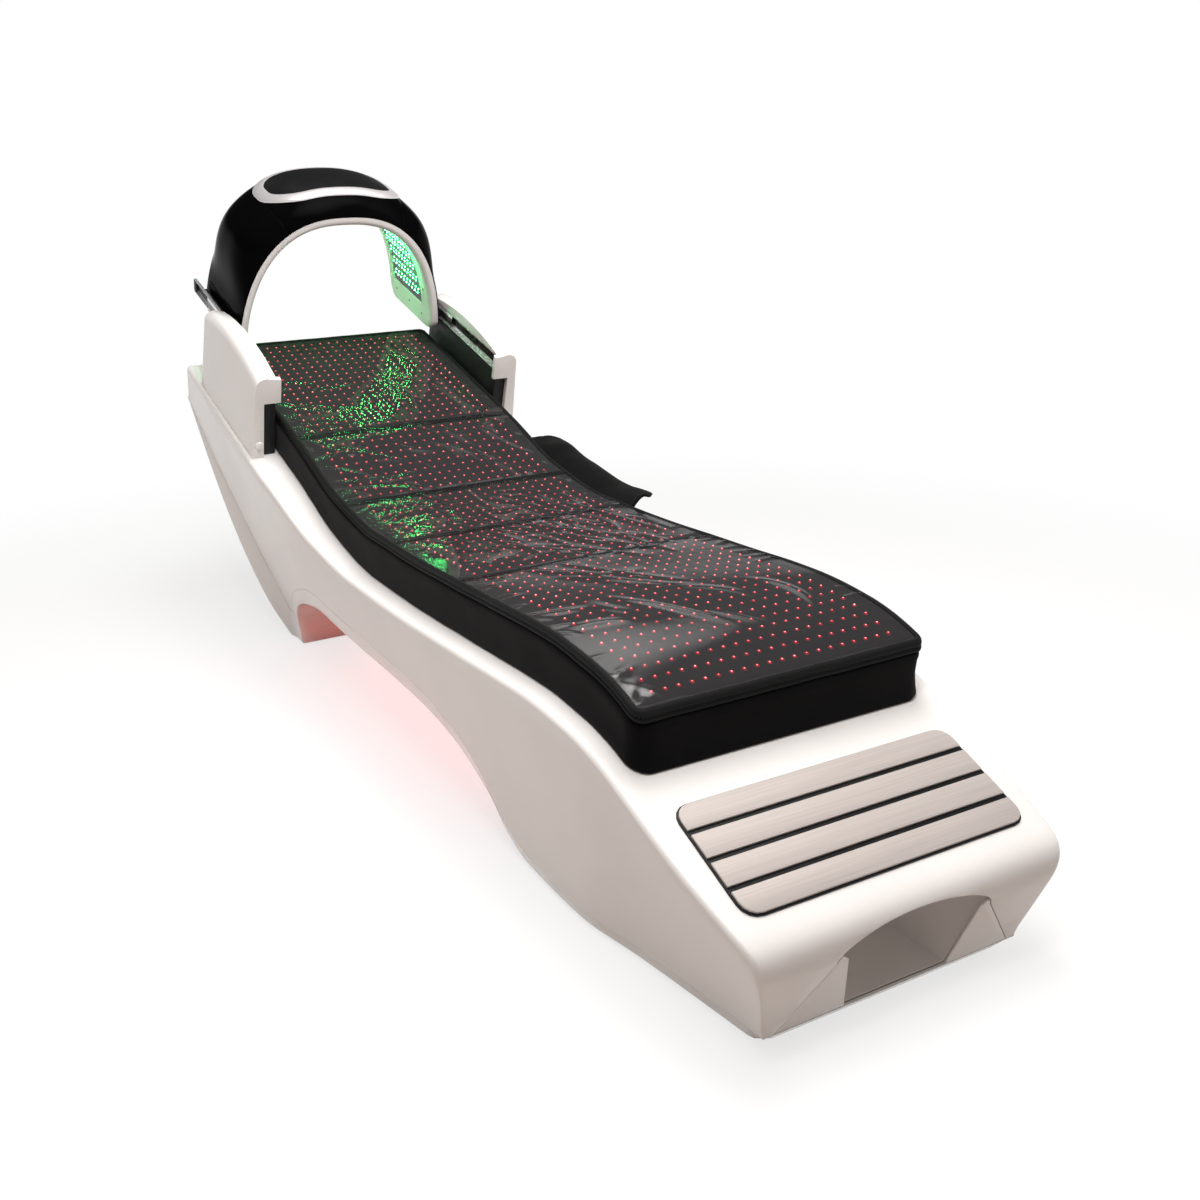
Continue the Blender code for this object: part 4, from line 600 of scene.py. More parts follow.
def soft_pad(name, xs, half, corners, levels, columns, material):
    """Closed pad that follows the bed: full faces at its first and last level, and rims between them. A level is an
    inset from the outline and a height function of (x, y)."""
    start, end, middle = xs[0], xs[-1], (xs[0] + xs[-1]) / 2
    points, faces, rims = [], [], []
    for n, (inset, height) in enumerate(levels):
        shrink, outer = 1.0 - 2 * inset / (end - start), n in (0, len(levels) - 1)
        grid = []
        for i, x in enumerate(xs):
            wide = corner_width(x, start, end, half, *corners) - inset
            at = middle + (x - middle) * shrink
            grid.append([])
            for j in range(columns + 1):
                if outer or i in (0, len(xs) - 1) or j in (0, columns):
                    y = lerp(-wide, wide, j / columns)
                    grid[-1].append(len(points))
                    points.append((at, y, height(at, y)))
        if outer:
            for near, far in zip(grid, grid[1:]):
                quads = [(near[j], far[j], far[j + 1], near[j + 1]) for j in range(columns)]
                faces += quads if n else [quad[::-1] for quad in quads]
        rims.append(grid[0] + [row[-1] for row in grid[1:-1]] + grid[-1][::-1] + [row[0] for row in grid[-2:0:-1]])
    for low, high in zip(rims, rims[1:]):
        for j in range(len(low)):
            k = (j + 1) % len(low)
            faces.append((low[j], high[j], high[k], low[k]))
    return new_piece(name, points, faces, material, 60)


def ripple(x, y, scale, seed):
    """Soft unevenness between -1 and 1."""
    return (math.sin(scale * (x + 0.31 * y) + seed) + math.sin(scale * (0.57 * y - 0.83 * x) * 1.7 + 2.1 * seed)
            + math.sin(scale * (x * 0.41 + y) * 2.3 + 0.7 * seed)) / 3


velour_black = new_material("velour_black", (0.004, 0.004, 0.0042), 0.95, Specular_IOR_Level=0.08, Sheen_Weight=0.06,
                            Sheen_Roughness=0.45)
tree = velour_black.node_tree
nap = texture(tree, "Noise", {"Scale": 1400.0, "Detail": 2.0})
stroke = texture(tree, "Noise", {"Scale": 9.0, "Detail": 3.0})
pile = math_node("MULTIPLY", nap, remap(stroke, 0.3, 0.7, 0.45, 1.25))
feed(velour_black, Base_Color=mix_tones(pile, (0.002, 0.002, 0.0022), (0.008, 0.0075, 0.008)))
link_bump(velour_black, nap, 0.45, 0.0006)

levels = [(inset, lambda x, y, up=up: deck_z(x) + up) for inset, up in MATTRESS_SIDE]
xs = pad_places(BED_HEAD - MATTRESS_PROUD, BED_FOOT + MATTRESS_PROUD, 0.018, BED_CORNER, BED_CORNER)
mattress = soft_pad("mattress_foam", xs, BED_HALF + MATTRESS_PROUD, (BED_CORNER, BED_CORNER), levels, 20, velour_black)
for v in mattress.data.vertices:
    if abs(v.co.y) > 0.2:
        v.co.y += math.copysign(MATTRESS_WAVE, v.co.y) * ripple(v.co.x, v.co.z * 3, 38.0, 1.0)
dress(mattress, "bed", "mattress")


# LED mat
# Five grey woven segments with red LEDs on a square lattice behind small lenses, sewn together in a row.
# Each is a thin pad, a little crowned between its seams. A red glow round each LED is painted into its cloth as light
# of its own.
GAP, BINDING, MAT_CORNER = 0.0003, 0.011, 0.008
MAT_UP, MAT_HALF = MATTRESS_HEIGHT + GAP, BED_HALF - BINDING - GAP
PANEL_SIDE, PANEL_HEIGHT, PANEL_CROWN, PANEL_WAVE = 0.012, 0.016, 0.003, 0.0004
SEAMS, SEAM_HALF, SEAM_DROP = [-0.503, -0.205, 0.055, 0.370], 0.010, 0.0015
LED_ACROSS, LED_ALONG, LED_COLUMNS, LED_PROUD, END_MARGIN = 0.0248, 0.0285, 20, 0.0006, 0.012
PAINTED_GLOW_INNER, PAINTED_GLOW_OUTER = 0.001, 0.0060
mat_starts = [BED_HEAD + BINDING + GAP] + [x + SEAM_HALF + GAP for x in SEAMS]
mat_ends = [x - SEAM_HALF - GAP for x in SEAMS] + [BED_FOOT - BINDING - GAP]
bed_x = np.linspace(BED_HEAD - 0.01, BED_FOOT + 0.01, 2001)
bed_z = np.array([deck_z(x) for x in bed_x])
bed_s = np.concatenate([[0.0], np.cumsum(np.hypot(np.diff(bed_x), np.diff(bed_z)))])


def run_at(x):
    """Length along the mat up to x."""
    return float(np.interp(x, bed_x, bed_s))


def mat_z(x):
    """Height of the mat's underside."""
    return deck_z(x) + MAT_UP


def panel_top(x, y):
    for start, end in zip(mat_starts, mat_ends):
        if start <= x <= end:
            crown = math.sqrt(max(0.0, math.sin(math.pi * (x - start) / (end - start))))
            return mat_z(x) + PANEL_HEIGHT + PANEL_CROWN * crown * (1.0 - (y / MAT_HALF) ** 4)
    return mat_z(x) + PANEL_HEIGHT - SEAM_DROP


thread_weave, given, made = new_group(
    "thread_weave", {"Threads": 600.0, "Light Thread": (0.08, 0.08, 0.08, 1), "Dark Thread": (0.03, 0.03, 0.03, 1)},
    ("Colour", "Height"))
cross = math_node("MULTIPLY", *[texture(
    thread_weave, "Wave", {"Scale": given["Threads"], "Distortion": 0.6}, bands_direction=way) for way in "XY"])
blotch = texture(thread_weave, "Noise", {"Scale": 14.0, "Detail": 4.0})
share = math_node("MULTIPLY", remap(cross, 0.0, 0.8, 0.3, 1.0),
                  remap(blotch, 0.3, 0.7, 0.6, 1.0))
feed(made, Colour=mix_tones(share, given["Dark Thread"], given["Light Thread"]), Height=cross)


def woven(name, roughness, threads, light, dark, bump, **sockets):
    """Material of threads in two tones. bump: strength and depth of the weave."""
    material = new_material(name, light, roughness, **sockets)
    outputs = place_group(material, thread_weave, Threads=threads, Light_Thread=(*light, 1), Dark_Thread=(*dark, 1))
    feed(material, Base_Color=outputs["Colour"])
    link_bump(material, outputs["Height"], *bump)
    return material


mat_grey = woven("mat_grey", 0.75, 420.0, (0.062, 0.058, 0.060), (0.036, 0.034, 0.035), (0.12, 0.0003),
                 Specular_IOR_Level=0.25, Emission_Strength=0.9)
tree = mat_grey.node_tree
lattice = add_node(tree, "ShaderNodeUVMap", uv_map="lattice").outputs["UV"]
cell = add_node(tree, "ShaderNodeSeparateXYZ", {"Vector": lattice}).outputs
column = math_node("MINIMUM", math_node("MAXIMUM", cell["X"], 0.0), float(LED_COLUMNS))
squares = []
for value, pitch in ((column, LED_ACROSS), (cell["Y"], LED_ALONG)):
    off = math_node("MULTIPLY", math_node("SUBTRACT", math_node("FRACT", value), 0.5), pitch)
    squares.append(math_node("MULTIPLY", off, off))
distance = math_node("SQRT", math_node("ADD", *squares))
# Painted glow: the cloth emits red light in a soft ring round each LED, brightest next to it and fading outwards.
painted_led_glow = remap(distance, PAINTED_GLOW_INNER, PAINTED_GLOW_OUTER, 1.0, 0.0, "SMOOTHERSTEP")
feed(mat_grey, Emission_Color=mix_tones(painted_led_glow, (0, 0, 0), (0.60, 0.010, 0.030)))

led_places, led_faces = [], []
for k, (start, end) in enumerate(zip(mat_starts, mat_ends)):
    corners = (MAT_CORNER if k == 0 else 0.0, MAT_CORNER if k == len(SEAMS) else 0.0)
    levels = [(0.0, lambda x, y: mat_z(x)), (0.0, lambda x, y: mat_z(x) + PANEL_SIDE),
              (0.0, lambda x, y: panel_top(clamp(x, start, end), y) + PANEL_WAVE * ripple(x, y, 45.0, 1.3 * k))]
    panel = soft_pad(f"mat_panel_{k + 1}", pad_places(start, end, 0.0125, *corners), MAT_HALF, corners, levels, 44,
                     mat_grey)
    first, length = run_at(start), run_at(end) - run_at(start)
    if k == 0:
        first, length = first + END_MARGIN, length - END_MARGIN
    if k == len(SEAMS):
        length -= END_MARGIN
    lines = round(length / LED_ALONG)
    layer = panel.data.uv_layers.new(name="lattice")
    for loop in panel.data.loops:
        spot = panel.data.vertices[loop.vertex_index].co
        layer.data[loop.index].uv = (spot.y / LED_ACROSS + LED_COLUMNS / 2,
                                     clamp((run_at(spot.x) - first) / length) * lines)
    dress(panel, "bed", f"led_panel_{k + 1}")
    led_faces += sheet_faces(lines, LED_COLUMNS, len(led_places))
    for i in range(lines):
        x = float(np.interp(first + length * (i + 0.5) / lines, bed_s, bed_x))
        led_places += [(x, (j + 0.5 - LED_COLUMNS / 2) * LED_ACROSS, panel_top(x, 0.1) + LED_PROUD)
                       for j in range(LED_COLUMNS)]


def new_tree(name, inputs):
    """Geometry node tree with named inputs: a label and its socket kind."""
    tree = bpy.data.node_groups.new(name, "GeometryNodeTree")
    for label, kind in {"Geometry": "Geometry", **inputs}.items():
        tree.interface.new_socket(label, in_out="INPUT", socket_type="NodeSocket" + kind)
    tree.interface.new_socket("Geometry", in_out="OUTPUT", socket_type="NodeSocketGeometry")
    return tree, tree.nodes.new("NodeGroupInput").outputs, tree.nodes.new("NodeGroupOutput")


def ball(segments, rings, radius, scale, rise=0.0):
    """Ball with its own scale along each axis, raised off its place."""
    tree = scale[-1].id_data
    sphere = add_node(tree, "GeometryNodeMeshUVSphere", {"Segments": segments, "Rings": rings, "Radius": radius})
    size = add_node(tree, "ShaderNodeCombineXYZ", dict(zip("XYZ", scale))).outputs[0]
    lift = add_node(tree, "ShaderNodeCombineXYZ", {"Z": rise}).outputs[0]
    return add_node(tree, "GeometryNodeTransform", {
        "Geometry": sphere.outputs["Mesh"], "Translation": lift, "Scale": size}).outputs[0]


def turned(axis, way):
    return add_node(way.id_data, "FunctionNodeAlignRotationToVector", {"Vector": way}, axis=axis).outputs[0]


def scatter(points, shape, turns, material, glow=None):
    """Copies of a shape on points, made real, smooth and of one material. Each keeps its own glow, if that is given."""
    tree = points.id_data
    copies = add_node(tree, "GeometryNodeInstanceOnPoints", {"Points": points, "Instance": shape, "Rotation": turns})
    if glow:
        copies = add_node(tree, "GeometryNodeStoreNamedAttribute", {
            "Geometry": copies.outputs[0], "Name": "glow", "Value": glow}, data_type="FLOAT", domain="INSTANCE")
    real = add_node(tree, "GeometryNodeRealizeInstances", {0: copies.outputs[0]})
    smooth = add_node(tree, "GeometryNodeSetShadeSmooth", {0: real.outputs[0]})
    return add_node(tree, "GeometryNodeSetMaterial", {
        "Geometry": smooth.outputs[0], "Material": material}).outputs[0]


def grow(name, points, faces, tree, values, edges=()):
    """Run a node tree on a carrier of points and keep the result as a plain mesh."""
    mesh = bpy.data.meshes.new(name)
    mesh.from_pydata(points, list(edges), faces)
    carrier = add_object(name + "_carrier", mesh)
    step = carrier.modifiers.new("nodes", "NODES")
    step.node_group = tree
    for item in tree.interface.items_tree:
        if item.in_out == "INPUT" and item.name in values:
            step[item.identifier] = values[item.name]
    grown = bpy.data.meshes.new_from_object(carrier.evaluated_get(bpy.context.evaluated_depsgraph_get()))
    bpy.data.objects.remove(carrier)
    return add_object(name, grown)


led_tree, given, made = new_tree("led_lattice", {
    "Lens Radius": "Float", "Lens Height": "Float", "Core Radius": "Float", "Dimmest": "Float", "Seed": "Int",
    "Lens": "Material", "Core": "Material"})
facing = turned("Z", add_node(led_tree, "GeometryNodeInputNormal").outputs[0])
chance = add_node(led_tree, "FunctionNodeRandomValue", {2: given["Dimmest"], "Seed": given["Seed"]}, data_type="FLOAT")
core_rise = math_node("MULTIPLY", given["Lens Radius"],
                      math_node("MULTIPLY", given["Lens Height"], 0.75))
joined = add_node(led_tree, "GeometryNodeJoinGeometry")
for name, rise in (("Lens", 0.0), ("Core", core_rise)):
    bead = ball(8, 4, given[name + " Radius"], (1.0, 1.0, given["Lens Height"]), rise)
    feed(joined, Geometry=scatter(given["Geometry"], bead, facing, given[name], chance.outputs[1]))
feed(made, Geometry=joined.outputs[0])


def lamp_material(name, base, dim, bright, strength):
    """Lit LED plastic: its light goes from dim to bright with each LED's own glow."""
    material = new_material(name, base, 0.25, Emission_Strength=strength)
    glow = add_node(material.node_tree, "ShaderNodeAttribute", attribute_name="glow").outputs["Fac"]
    feed(material, Emission_Color=mix_tones(glow, dim, bright))
    return material


red_lens = lamp_material("red_lens", (0.5, 0.04, 0.03), (0.30, 0.008, 0.020), (1.0, 0.04, 0.10), 2.2)
red_core = lamp_material("red_core", (0.8, 0.3, 0.25), (0.40, 0.05, 0.05), (1.0, 0.50, 0.48), 4.0)
mat_leds = grow("mat_leds", led_places, led_faces, led_tree, {
    "Lens Radius": 0.0021, "Lens Height": 0.42, "Core Radius": 0.0012, "Dimmest": 0.1, "Seed": 11, "Lens": red_lens,
    "Core": red_core})
dress(mat_leds, "bed", slot="glow_red")


# Seam strips and edge piping
# Black woven strips sewn over the joins, and a doubled black piping with a row of stitches sewn round the whole mat.
# Two rows of stitches hold each strip.
STRIP_EDGE, STRIP_DROP, STRIP_CROWN, STRIP_STITCH, STITCH_PROUD = 0.011, 0.0012, 0.0022, 0.0062, 0.0015
PIPING_CORNER, PIPING_WOBBLE = MAT_CORNER + BINDING, 0.0007
PIPING = [(0.011, 0.0), (0.002, 0.0), (-0.0006, 0.0022), (-0.0012, 0.0052), (0.0004, 0.0076), (0.0018, 0.0088),
          (0.0004, 0.0102), (-0.0012, 0.0128), (-0.0004, 0.0164), (0.0024, 0.0192), (0.0056, 0.0202), (0.0086, 0.0192),
          (0.0108, 0.0172), (0.0112, 0.010)]
webbing_black = woven("webbing_black", 0.7, 520.0, (0.009, 0.0088, 0.009), (0.003, 0.003, 0.003), (0.3, 0.0004),
                      Specular_IOR_Level=0.2)
for k, x in enumerate(SEAMS):
    levels = [(0.0, lambda at, y: mat_z(at)), (0.0, lambda at, y: mat_z(at) + STRIP_EDGE)]
    levels.append((0.0, lambda at, y: mat_z(at) + PANEL_HEIGHT - STRIP_DROP
                   + STRIP_CROWN * math.cos(157.0 * (at - x)) ** 2))
    xs = [lerp(x - SEAM_HALF, x + SEAM_HALF, t) for t in np.linspace(0, 1, 11)]
    strip = soft_pad(f"seam_strip_{k + 1}_sewn", xs, MAT_HALF, (0.0, 0.0), levels, 60, webbing_black)
    dress(strip, "bed", f"seam_strip_{k + 1}")


def round_loop(start, end, half, corner, step, across):
    """Points round an oblong with rounded corners."""
    places = pad_places(start, end, step, corner, corner)
    side = [(x, corner_width(x, start, end, half, corner, corner)) for x in places]
    ends = [lerp(half - corner, corner - half, t) for t in np.linspace(0, 1, across)][1:-1]
    return side + [(end, y) for y in ends] + [(x, -y) for x, y in side[::-1]] + [(start, -y) for y in ends]


def round_inset(x, y, start, end, half, corner, inset):
    """Point of such a loop, moved straight in."""
    away = Vector((x - clamp(x, start + corner, end - corner), y - clamp(y, corner - half, half - corner))).normalized()
    return x - away.x * inset, y - away.y * inset


def edge_place(x, y, inset, up):
    """Point beside the mat's outline: inset from it, and up from the mattress, with a little wobble."""
    at, across = round_inset(x, y, BED_HEAD, BED_FOOT, BED_HALF, PIPING_CORNER,
                             inset + PIPING_WOBBLE * ripple(x, y, 30.0, 2.0))
    return at, across, mat_z(at) + up + 0.5 * PIPING_WOBBLE * ripple(x, y, 23.0, 4.0)


edge_loop = round_loop(BED_HEAD, BED_FOOT, BED_HALF, PIPING_CORNER, 0.012, 24)
rings = [[edge_place(x, y, *spot) for spot in PIPING] for x, y in edge_loop]
binding = new_tube("mat_piping", rings, webbing_black, 70, True)
dress(binding, "bed", "mat_binding")

stitch_tree, given, made = new_tree("stitch_row", {
    "Pitch": "Float", "Length": "Float", "Thread": "Float", "Material": "Material"})
path = add_node(stitch_tree, "GeometryNodeMeshToCurve", {0: given["Geometry"]}).outputs[0]
spots = add_node(stitch_tree, "GeometryNodeCurveToPoints", {"Curve": path, "Length": given["Pitch"]},
                 mode="LENGTH").outputs
bead = ball(6, 4, 0.5, (given["Length"], given["Thread"], given["Thread"]))
feed(made, Geometry=scatter(spots["Points"], bead, turned("X", spots["Tangent"]), given["Material"]))

thread_black = moulded("thread_black", (0.012, 0.012, 0.012), (200.0, 0.5, 0.15), (900.0, 0.4, 0.0002))
around = len(edge_loop)
points = [edge_place(x, y, inset, up) for inset, up in ((0.0062, 0.0206), (0.0008, 0.0088)) for x, y in edge_loop]
edges = [(n * around + i, n * around + (i + 1) % around) for n in range(2) for i in range(around)]
for x in SEAMS:
    for at in (x - STRIP_STITCH, x + STRIP_STITCH):
        line = [(at, y, panel_top(x, y) + STITCH_PROUD) for y in np.linspace(-MAT_HALF + 0.004, MAT_HALF - 0.004, 30)]
        edges += [(len(points) + i, len(points) + i + 1) for i in range(len(line) - 1)]
        points += line
stitches = grow("mat_stitches", points, [], stitch_tree, {
    "Pitch": 0.0062, "Length": 0.0042, "Thread": 0.0011, "Material": thread_black}, edges)
dress(stitches, "bed", slot="webbing_black")


# Clear cover
# One sheet of soft clear vinyl laid over the mat and caught under the piping. It clings in places and creases along
# its edges and over the seams.
SHEET_ROWS, SHEET_COLUMNS, SHEET_OFF, SWELL, LIFT_MOST, EDGE_CREASES = 600, 150, 0.0017, 0.0006, 0.006, 110
FAR_CREASES, NEAR_CREASES = (7, 17, 17, 22, 7), (9, 8, 7, 5, 6)
creases = []
rng = np.random.default_rng(5)
sheet_start, sheet_end = run_at(mat_starts[0]), run_at(mat_ends[-1])
panel_runs = [(run_at(start), run_at(end)) for start, end in zip(mat_starts, mat_ends)]
for _ in range(EDGE_CREASES):
    side = 1 if rng.random() < 0.55 else -1
    creases.append((rng.uniform(sheet_start, sheet_end), side * (MAT_HALF - rng.uniform(0.0, 0.015)),
                    math.pi / 2 + rng.normal(0, 0.5), rng.uniform(0.02, 0.05), rng.uniform(0.005, 0.008),
                    rng.uniform(0.0010, 0.0026), rng.normal(0, 5.0)))
for count, ends in zip(FAR_CREASES, panel_runs):
    for _ in range(count):
        y = rng.uniform(-0.10, MAT_HALF)
        creases.append((rng.uniform(*ends), y, 0.30 + 1.2 * (0.12 - y) + rng.normal(0, 0.22), rng.uniform(0.07, 0.17),
                        rng.uniform(0.007, 0.012), rng.uniform(0.0018, 0.0036), rng.normal(0, 2.0)))
for count, ends in zip(NEAR_CREASES, panel_runs):
    for _ in range(count):
        creases.append((rng.uniform(*ends), rng.uniform(-MAT_HALF, -0.02), 1.1 + rng.normal(0, 0.4),
                        rng.uniform(0.05, 0.13), rng.uniform(0.008, 0.015), rng.uniform(0.0015, 0.0036),
                        rng.normal(0, 3.0)))
s_grid, q_grid = np.meshgrid(np.linspace(sheet_start, sheet_end, SHEET_ROWS), np.linspace(-1, 1, SHEET_COLUMNS),
                             indexing="ij")
x_grid = np.interp(s_grid, bed_s, bed_x)
y_grid = q_grid * np.array([[corner_width(x, mat_starts[0], mat_ends[-1], MAT_HALF, MAT_CORNER, MAT_CORNER)]
                            for x in x_grid[:, 0]])
lift = np.zeros_like(s_grid)
for s, y, turn, length, width, height, bow in creases:
    along = (s_grid - s) * math.cos(turn) + (y_grid - y) * math.sin(turn)
    across = (y_grid - y) * math.cos(turn) - (s_grid - s) * math.sin(turn) + bow * along ** 2
    lift += height * np.exp(-(across / width) ** 2) * np.clip(1 - (along / length) ** 2, 0, 1) ** 1.5
top_grid = np.array([[panel_top(x, y) for y in line] for x, line in zip(x_grid[:, 0], y_grid)])
sag = np.array(top_grid)
for _ in range(6):
    sag[1:-1] = (sag[:-2] + sag[1:-1] + sag[2:]) / 3
swell = np.sin(17 * s_grid + 9 * y_grid) * np.sin(23 * y_grid - 6 * s_grid + 1.0) + 1.0
z_grid = np.maximum(top_grid, sag) + SHEET_OFF + SWELL * swell + LIFT_MOST * np.tanh(lift / LIFT_MOST)
clear_vinyl = new_material("clear_vinyl", (0.010, 0.010, 0.011), 0.07, IOR=1.75, Alpha=0.42)
tree = clear_vinyl.node_tree
crinkle = texture(tree, "Noise", {"Scale": 16.0, "Detail": 1.5, "Distortion": 1.0})
feed(clear_vinyl, Roughness=remap(crinkle, 0.35, 0.7, 0.02, 0.05))
link_bump(clear_vinyl, crinkle, 0.10, 0.0030)
vinyl = new_sheet("clear_cover", np.stack([x_grid, y_grid, z_grid], -1).tolist(), clear_vinyl, 90)
dress(vinyl, "bed", "vinyl_cover")


# Cable flap and lead
# A lined velour flap sewn to the far edge of the mat, bowed over the lead. The lead leaves the mat, bends down and
# goes through a rubber gland in the deck.
FLAP_START, FLAP_END, FLAP_REACH, FLAP_RISE, FLAP_THICK, FLAP_CORNER = -0.385, 0.075, 0.072, 0.022, 0.007, 0.030
FLAP_ROWS, FLAP_COLUMNS, FLAP_EDGE = 60, 14, 0.0030


def ease(t):
    """Share that starts and ends gently."""
    t = clamp(t)
    return t * t * (3 - 2 * t)


rows = []
for k in range(FLAP_ROWS + 1):
    x = lerp(FLAP_START, FLAP_END, 0.5 - 0.5 * math.cos(math.pi * k / FLAP_ROWS))
    reach = corner_width(x, FLAP_START, FLAP_END, FLAP_REACH, FLAP_CORNER, FLAP_CORNER)
    bow = FLAP_RISE * ease((x - FLAP_START) / (3 * FLAP_CORNER)) * (1.0 + 0.10 * math.sin(31.0 * x))
    rows.append([(x, BED_HALF + GAP + reach * q, mat_z(x) + PANEL_HEIGHT / 2 + FLAP_THICK
                  + bow * math.sin(0.75 * math.pi * q) + 0.0008 * ripple(x, q * 0.1, 60.0, 5.0))
                 for q in np.linspace(0, 1, FLAP_COLUMNS + 1)])
flap = new_sheet("cable_flap_cloth", rows, velour_black)
thicken(flap, FLAP_THICK)
bevel(flap, FLAP_EDGE, 3, 50)
settle(flap, 60)
dress(flap, "bed", "cable_flap")

LEAD_RADIUS, LEAD_SIDES, LEAD_STEPS = 0.003, 12, 5
lead_route = [(0.000, 0.2876, 0.4558), (0.000, 0.297, 0.4558), (0.009, 0.308, 0.450), (0.021, 0.317, 0.434),
              (0.031, 0.322, 0.412), (0.031, 0.322, 0.3783)]
knots = [Vector(p) for p in lead_route]
lead_points = [knots[0]]
for p0, p1, p2, p3 in zip([knots[0]] + knots, knots, knots[1:], knots[2:] + [knots[-1]]):
    for t in np.arange(1, LEAD_STEPS + 1) / LEAD_STEPS:
        lead_points.append(0.5 * (2 * p1 + (p2 - p0) * t + (2 * p0 - 5 * p1 + 4 * p2 - p3) * t * t
                                  + (3 * p1 - p0 - 3 * p2 + p3) * t ** 3))
rings = []
for before, spot, after in zip([knots[0]] + lead_points, lead_points, lead_points[1:] + [lead_points[-1]]):
    ahead = (after - before).normalized()
    across = ahead.cross(Vector((1, 0, 0.2))).normalized()
    upward = across.cross(ahead).normalized()
    rings.append([spot + (across * math.cos(a) + upward * math.sin(a)) * LEAD_RADIUS
                  for a in np.linspace(0, 2 * math.pi, LEAD_SIDES, endpoint=False)])
cable_black = moulded("cable_black", (0.016, 0.016, 0.017), (60.0, 0.46, 0.1), (900.0, 0.3, 0.0002))
lead = new_tube("mat_lead_cable", rings, cable_black)
dress(lead, "bed", "mat_lead", slot="foot_rubber")
softened("mat_lead_grommet", foot_rubber, 0.0012, segments=3)


# Rail housings
# White moulded housings screwed to the deck on both sides of the head end, with rounded roofs, a black panel below
# each rail and a press-in cap over the fixing screw.
for hand in ("left", "right"):
    softened("rail_housing_" + hand, shell_white, 0.0060, segments=5, angle=38)
    softened("housing_inner_panel_" + hand, matte_black, 0.0012)
    softened("housing_cap_" + hand, shell_white, 0.0042, segments=5)


# Telescopic rails
# Three-member slides of bright plated steel, darker in a band along their middle at the height of the tracks: the fixed
# channel in the housing, the middle member, and the inner one that carries the dome on a black spacer. Low screws and
# end plugs finish them.
RAIL_UP, PLATED, MIDDLE_BAND_DARK, TRACK_HALF, TRACK_FADE = 0.180, (0.80, 0.80, 0.81), (0.05, 0.05, 0.052), 0.0085, 0.0105
PLUG_RUN, PLUG_ACROSS, PLUG_UP, PLUG_ROUND = (0.650, 0.668), (0.2975, 0.3052), (0.1634, 0.1966), 0.0038
SPOT_SIZE = 0.00001
rail_chrome = moulded("rail_chrome", PLATED, (30.0, 0.28, 0.06), (260.0, 0.04, 0.0003), metallic=0.65)
tree = rail_chrome.node_tree
off_deck = {0: own_place(tree), 1: (math.sin(HEAD_SLOPE), 0.0, math.cos(HEAD_SLOPE))}
height = add_node(tree, "ShaderNodeVectorMath", off_deck, operation="DOT_PRODUCT").outputs["Value"]
rail_middle = HEAD_DECK[0] * math.sin(HEAD_SLOPE) + HEAD_DECK[1] * math.cos(HEAD_SLOPE) + RAIL_UP
off_middle = math_node("ABSOLUTE", math_node("SUBTRACT", height, rail_middle))
# The rail's colour is darker in a band along the middle of its height and fades out to the plated tone above and below.
off_middle_band = remap(off_middle, TRACK_HALF, TRACK_FADE, 0.0, 1.0)
feed(rail_chrome, Base_Color=mix_tones(off_middle_band, MIDDLE_BAND_DARK, PLATED))


def head_point(s, y, h):
    """Place at s up the head slope, y across and h off the deck."""
    return Vector((HEAD_DECK[0] - s * math.cos(HEAD_SLOPE) + h * math.sin(HEAD_SLOPE), y,
                   HEAD_DECK[1] + s * math.sin(HEAD_SLOPE) + h * math.cos(HEAD_SLOPE)))


screw_tree, given, made = new_tree("screw_row", {
    "Head Radius": "Float", "Head Height": "Float", "Material": "Material"})
head = ball(12, 6, 1.0, (given["Head Radius"], given["Head Radius"], given["Head Height"]))
facing = turned("Z", add_node(screw_tree, "GeometryNodeInputNormal").outputs[0])
feed(made, Geometry=scatter(given["Geometry"], head, facing, given["Material"]))


def screw_row(name, spots, normal, radius, height, material, body):
    """Screw heads: each spot is a tiny face that gives its direction, and its three heads are merged into one."""
    normal = Vector(normal).normalized()
    across = normal.orthogonal().normalized()
    points = [tuple(Vector(spot) + off * SPOT_SIZE) for spot in spots
              for off in (Vector((0, 0, 0)), across, normal.cross(across))]
    piece = grow(name, points, [(k, k + 1, k + 2) for k in range(0, len(points), 3)], screw_tree, {
        "Head Radius": radius, "Head Height": height, "Material": material})
    tidy_mesh(piece, 50)
    dress(piece, body)


for hand, side in (("left", -1), ("right", 1)):
    middle_body = "rail_middle_" + hand
    for member, body in (("fixed", "bed"), ("middle", middle_body), ("inner", "dome")):
        softened(f"rail_{member}_{hand}", rail_chrome, 0.0006, body)
    softened("dome_bracket_" + hand, matte_black, 0.0015, "dome", 3)
    rings = [[head_point(s, side * PLUG_ACROSS[a], PLUG_UP[b]) for a, b in ((0, 0), (1, 0), (1, 1), (0, 1))]
             for s in PLUG_RUN]
    plug = new_tube("rail_plug_" + hand, rings, moulded_black)
    bevel(plug, PLUG_ROUND, 4, 30)
    settle(plug)
    dress(plug, "dome")
    for member, runs, across, radius, height, body in (
            ("fixed", (0.03, 0.075, 0.12), 0.3082, 0.0042, 0.0005, "bed"),
            ("middle", (0.155, 0.195, 0.245), 0.3062, 0.0040, 0.0012, middle_body)):
        screw_row(f"rail_screws_{member}_{hand}", [head_point(s, side * across, RAIL_UP) for s in runs], (0, -side, 0),
                  radius, height, rail_chrome, body)


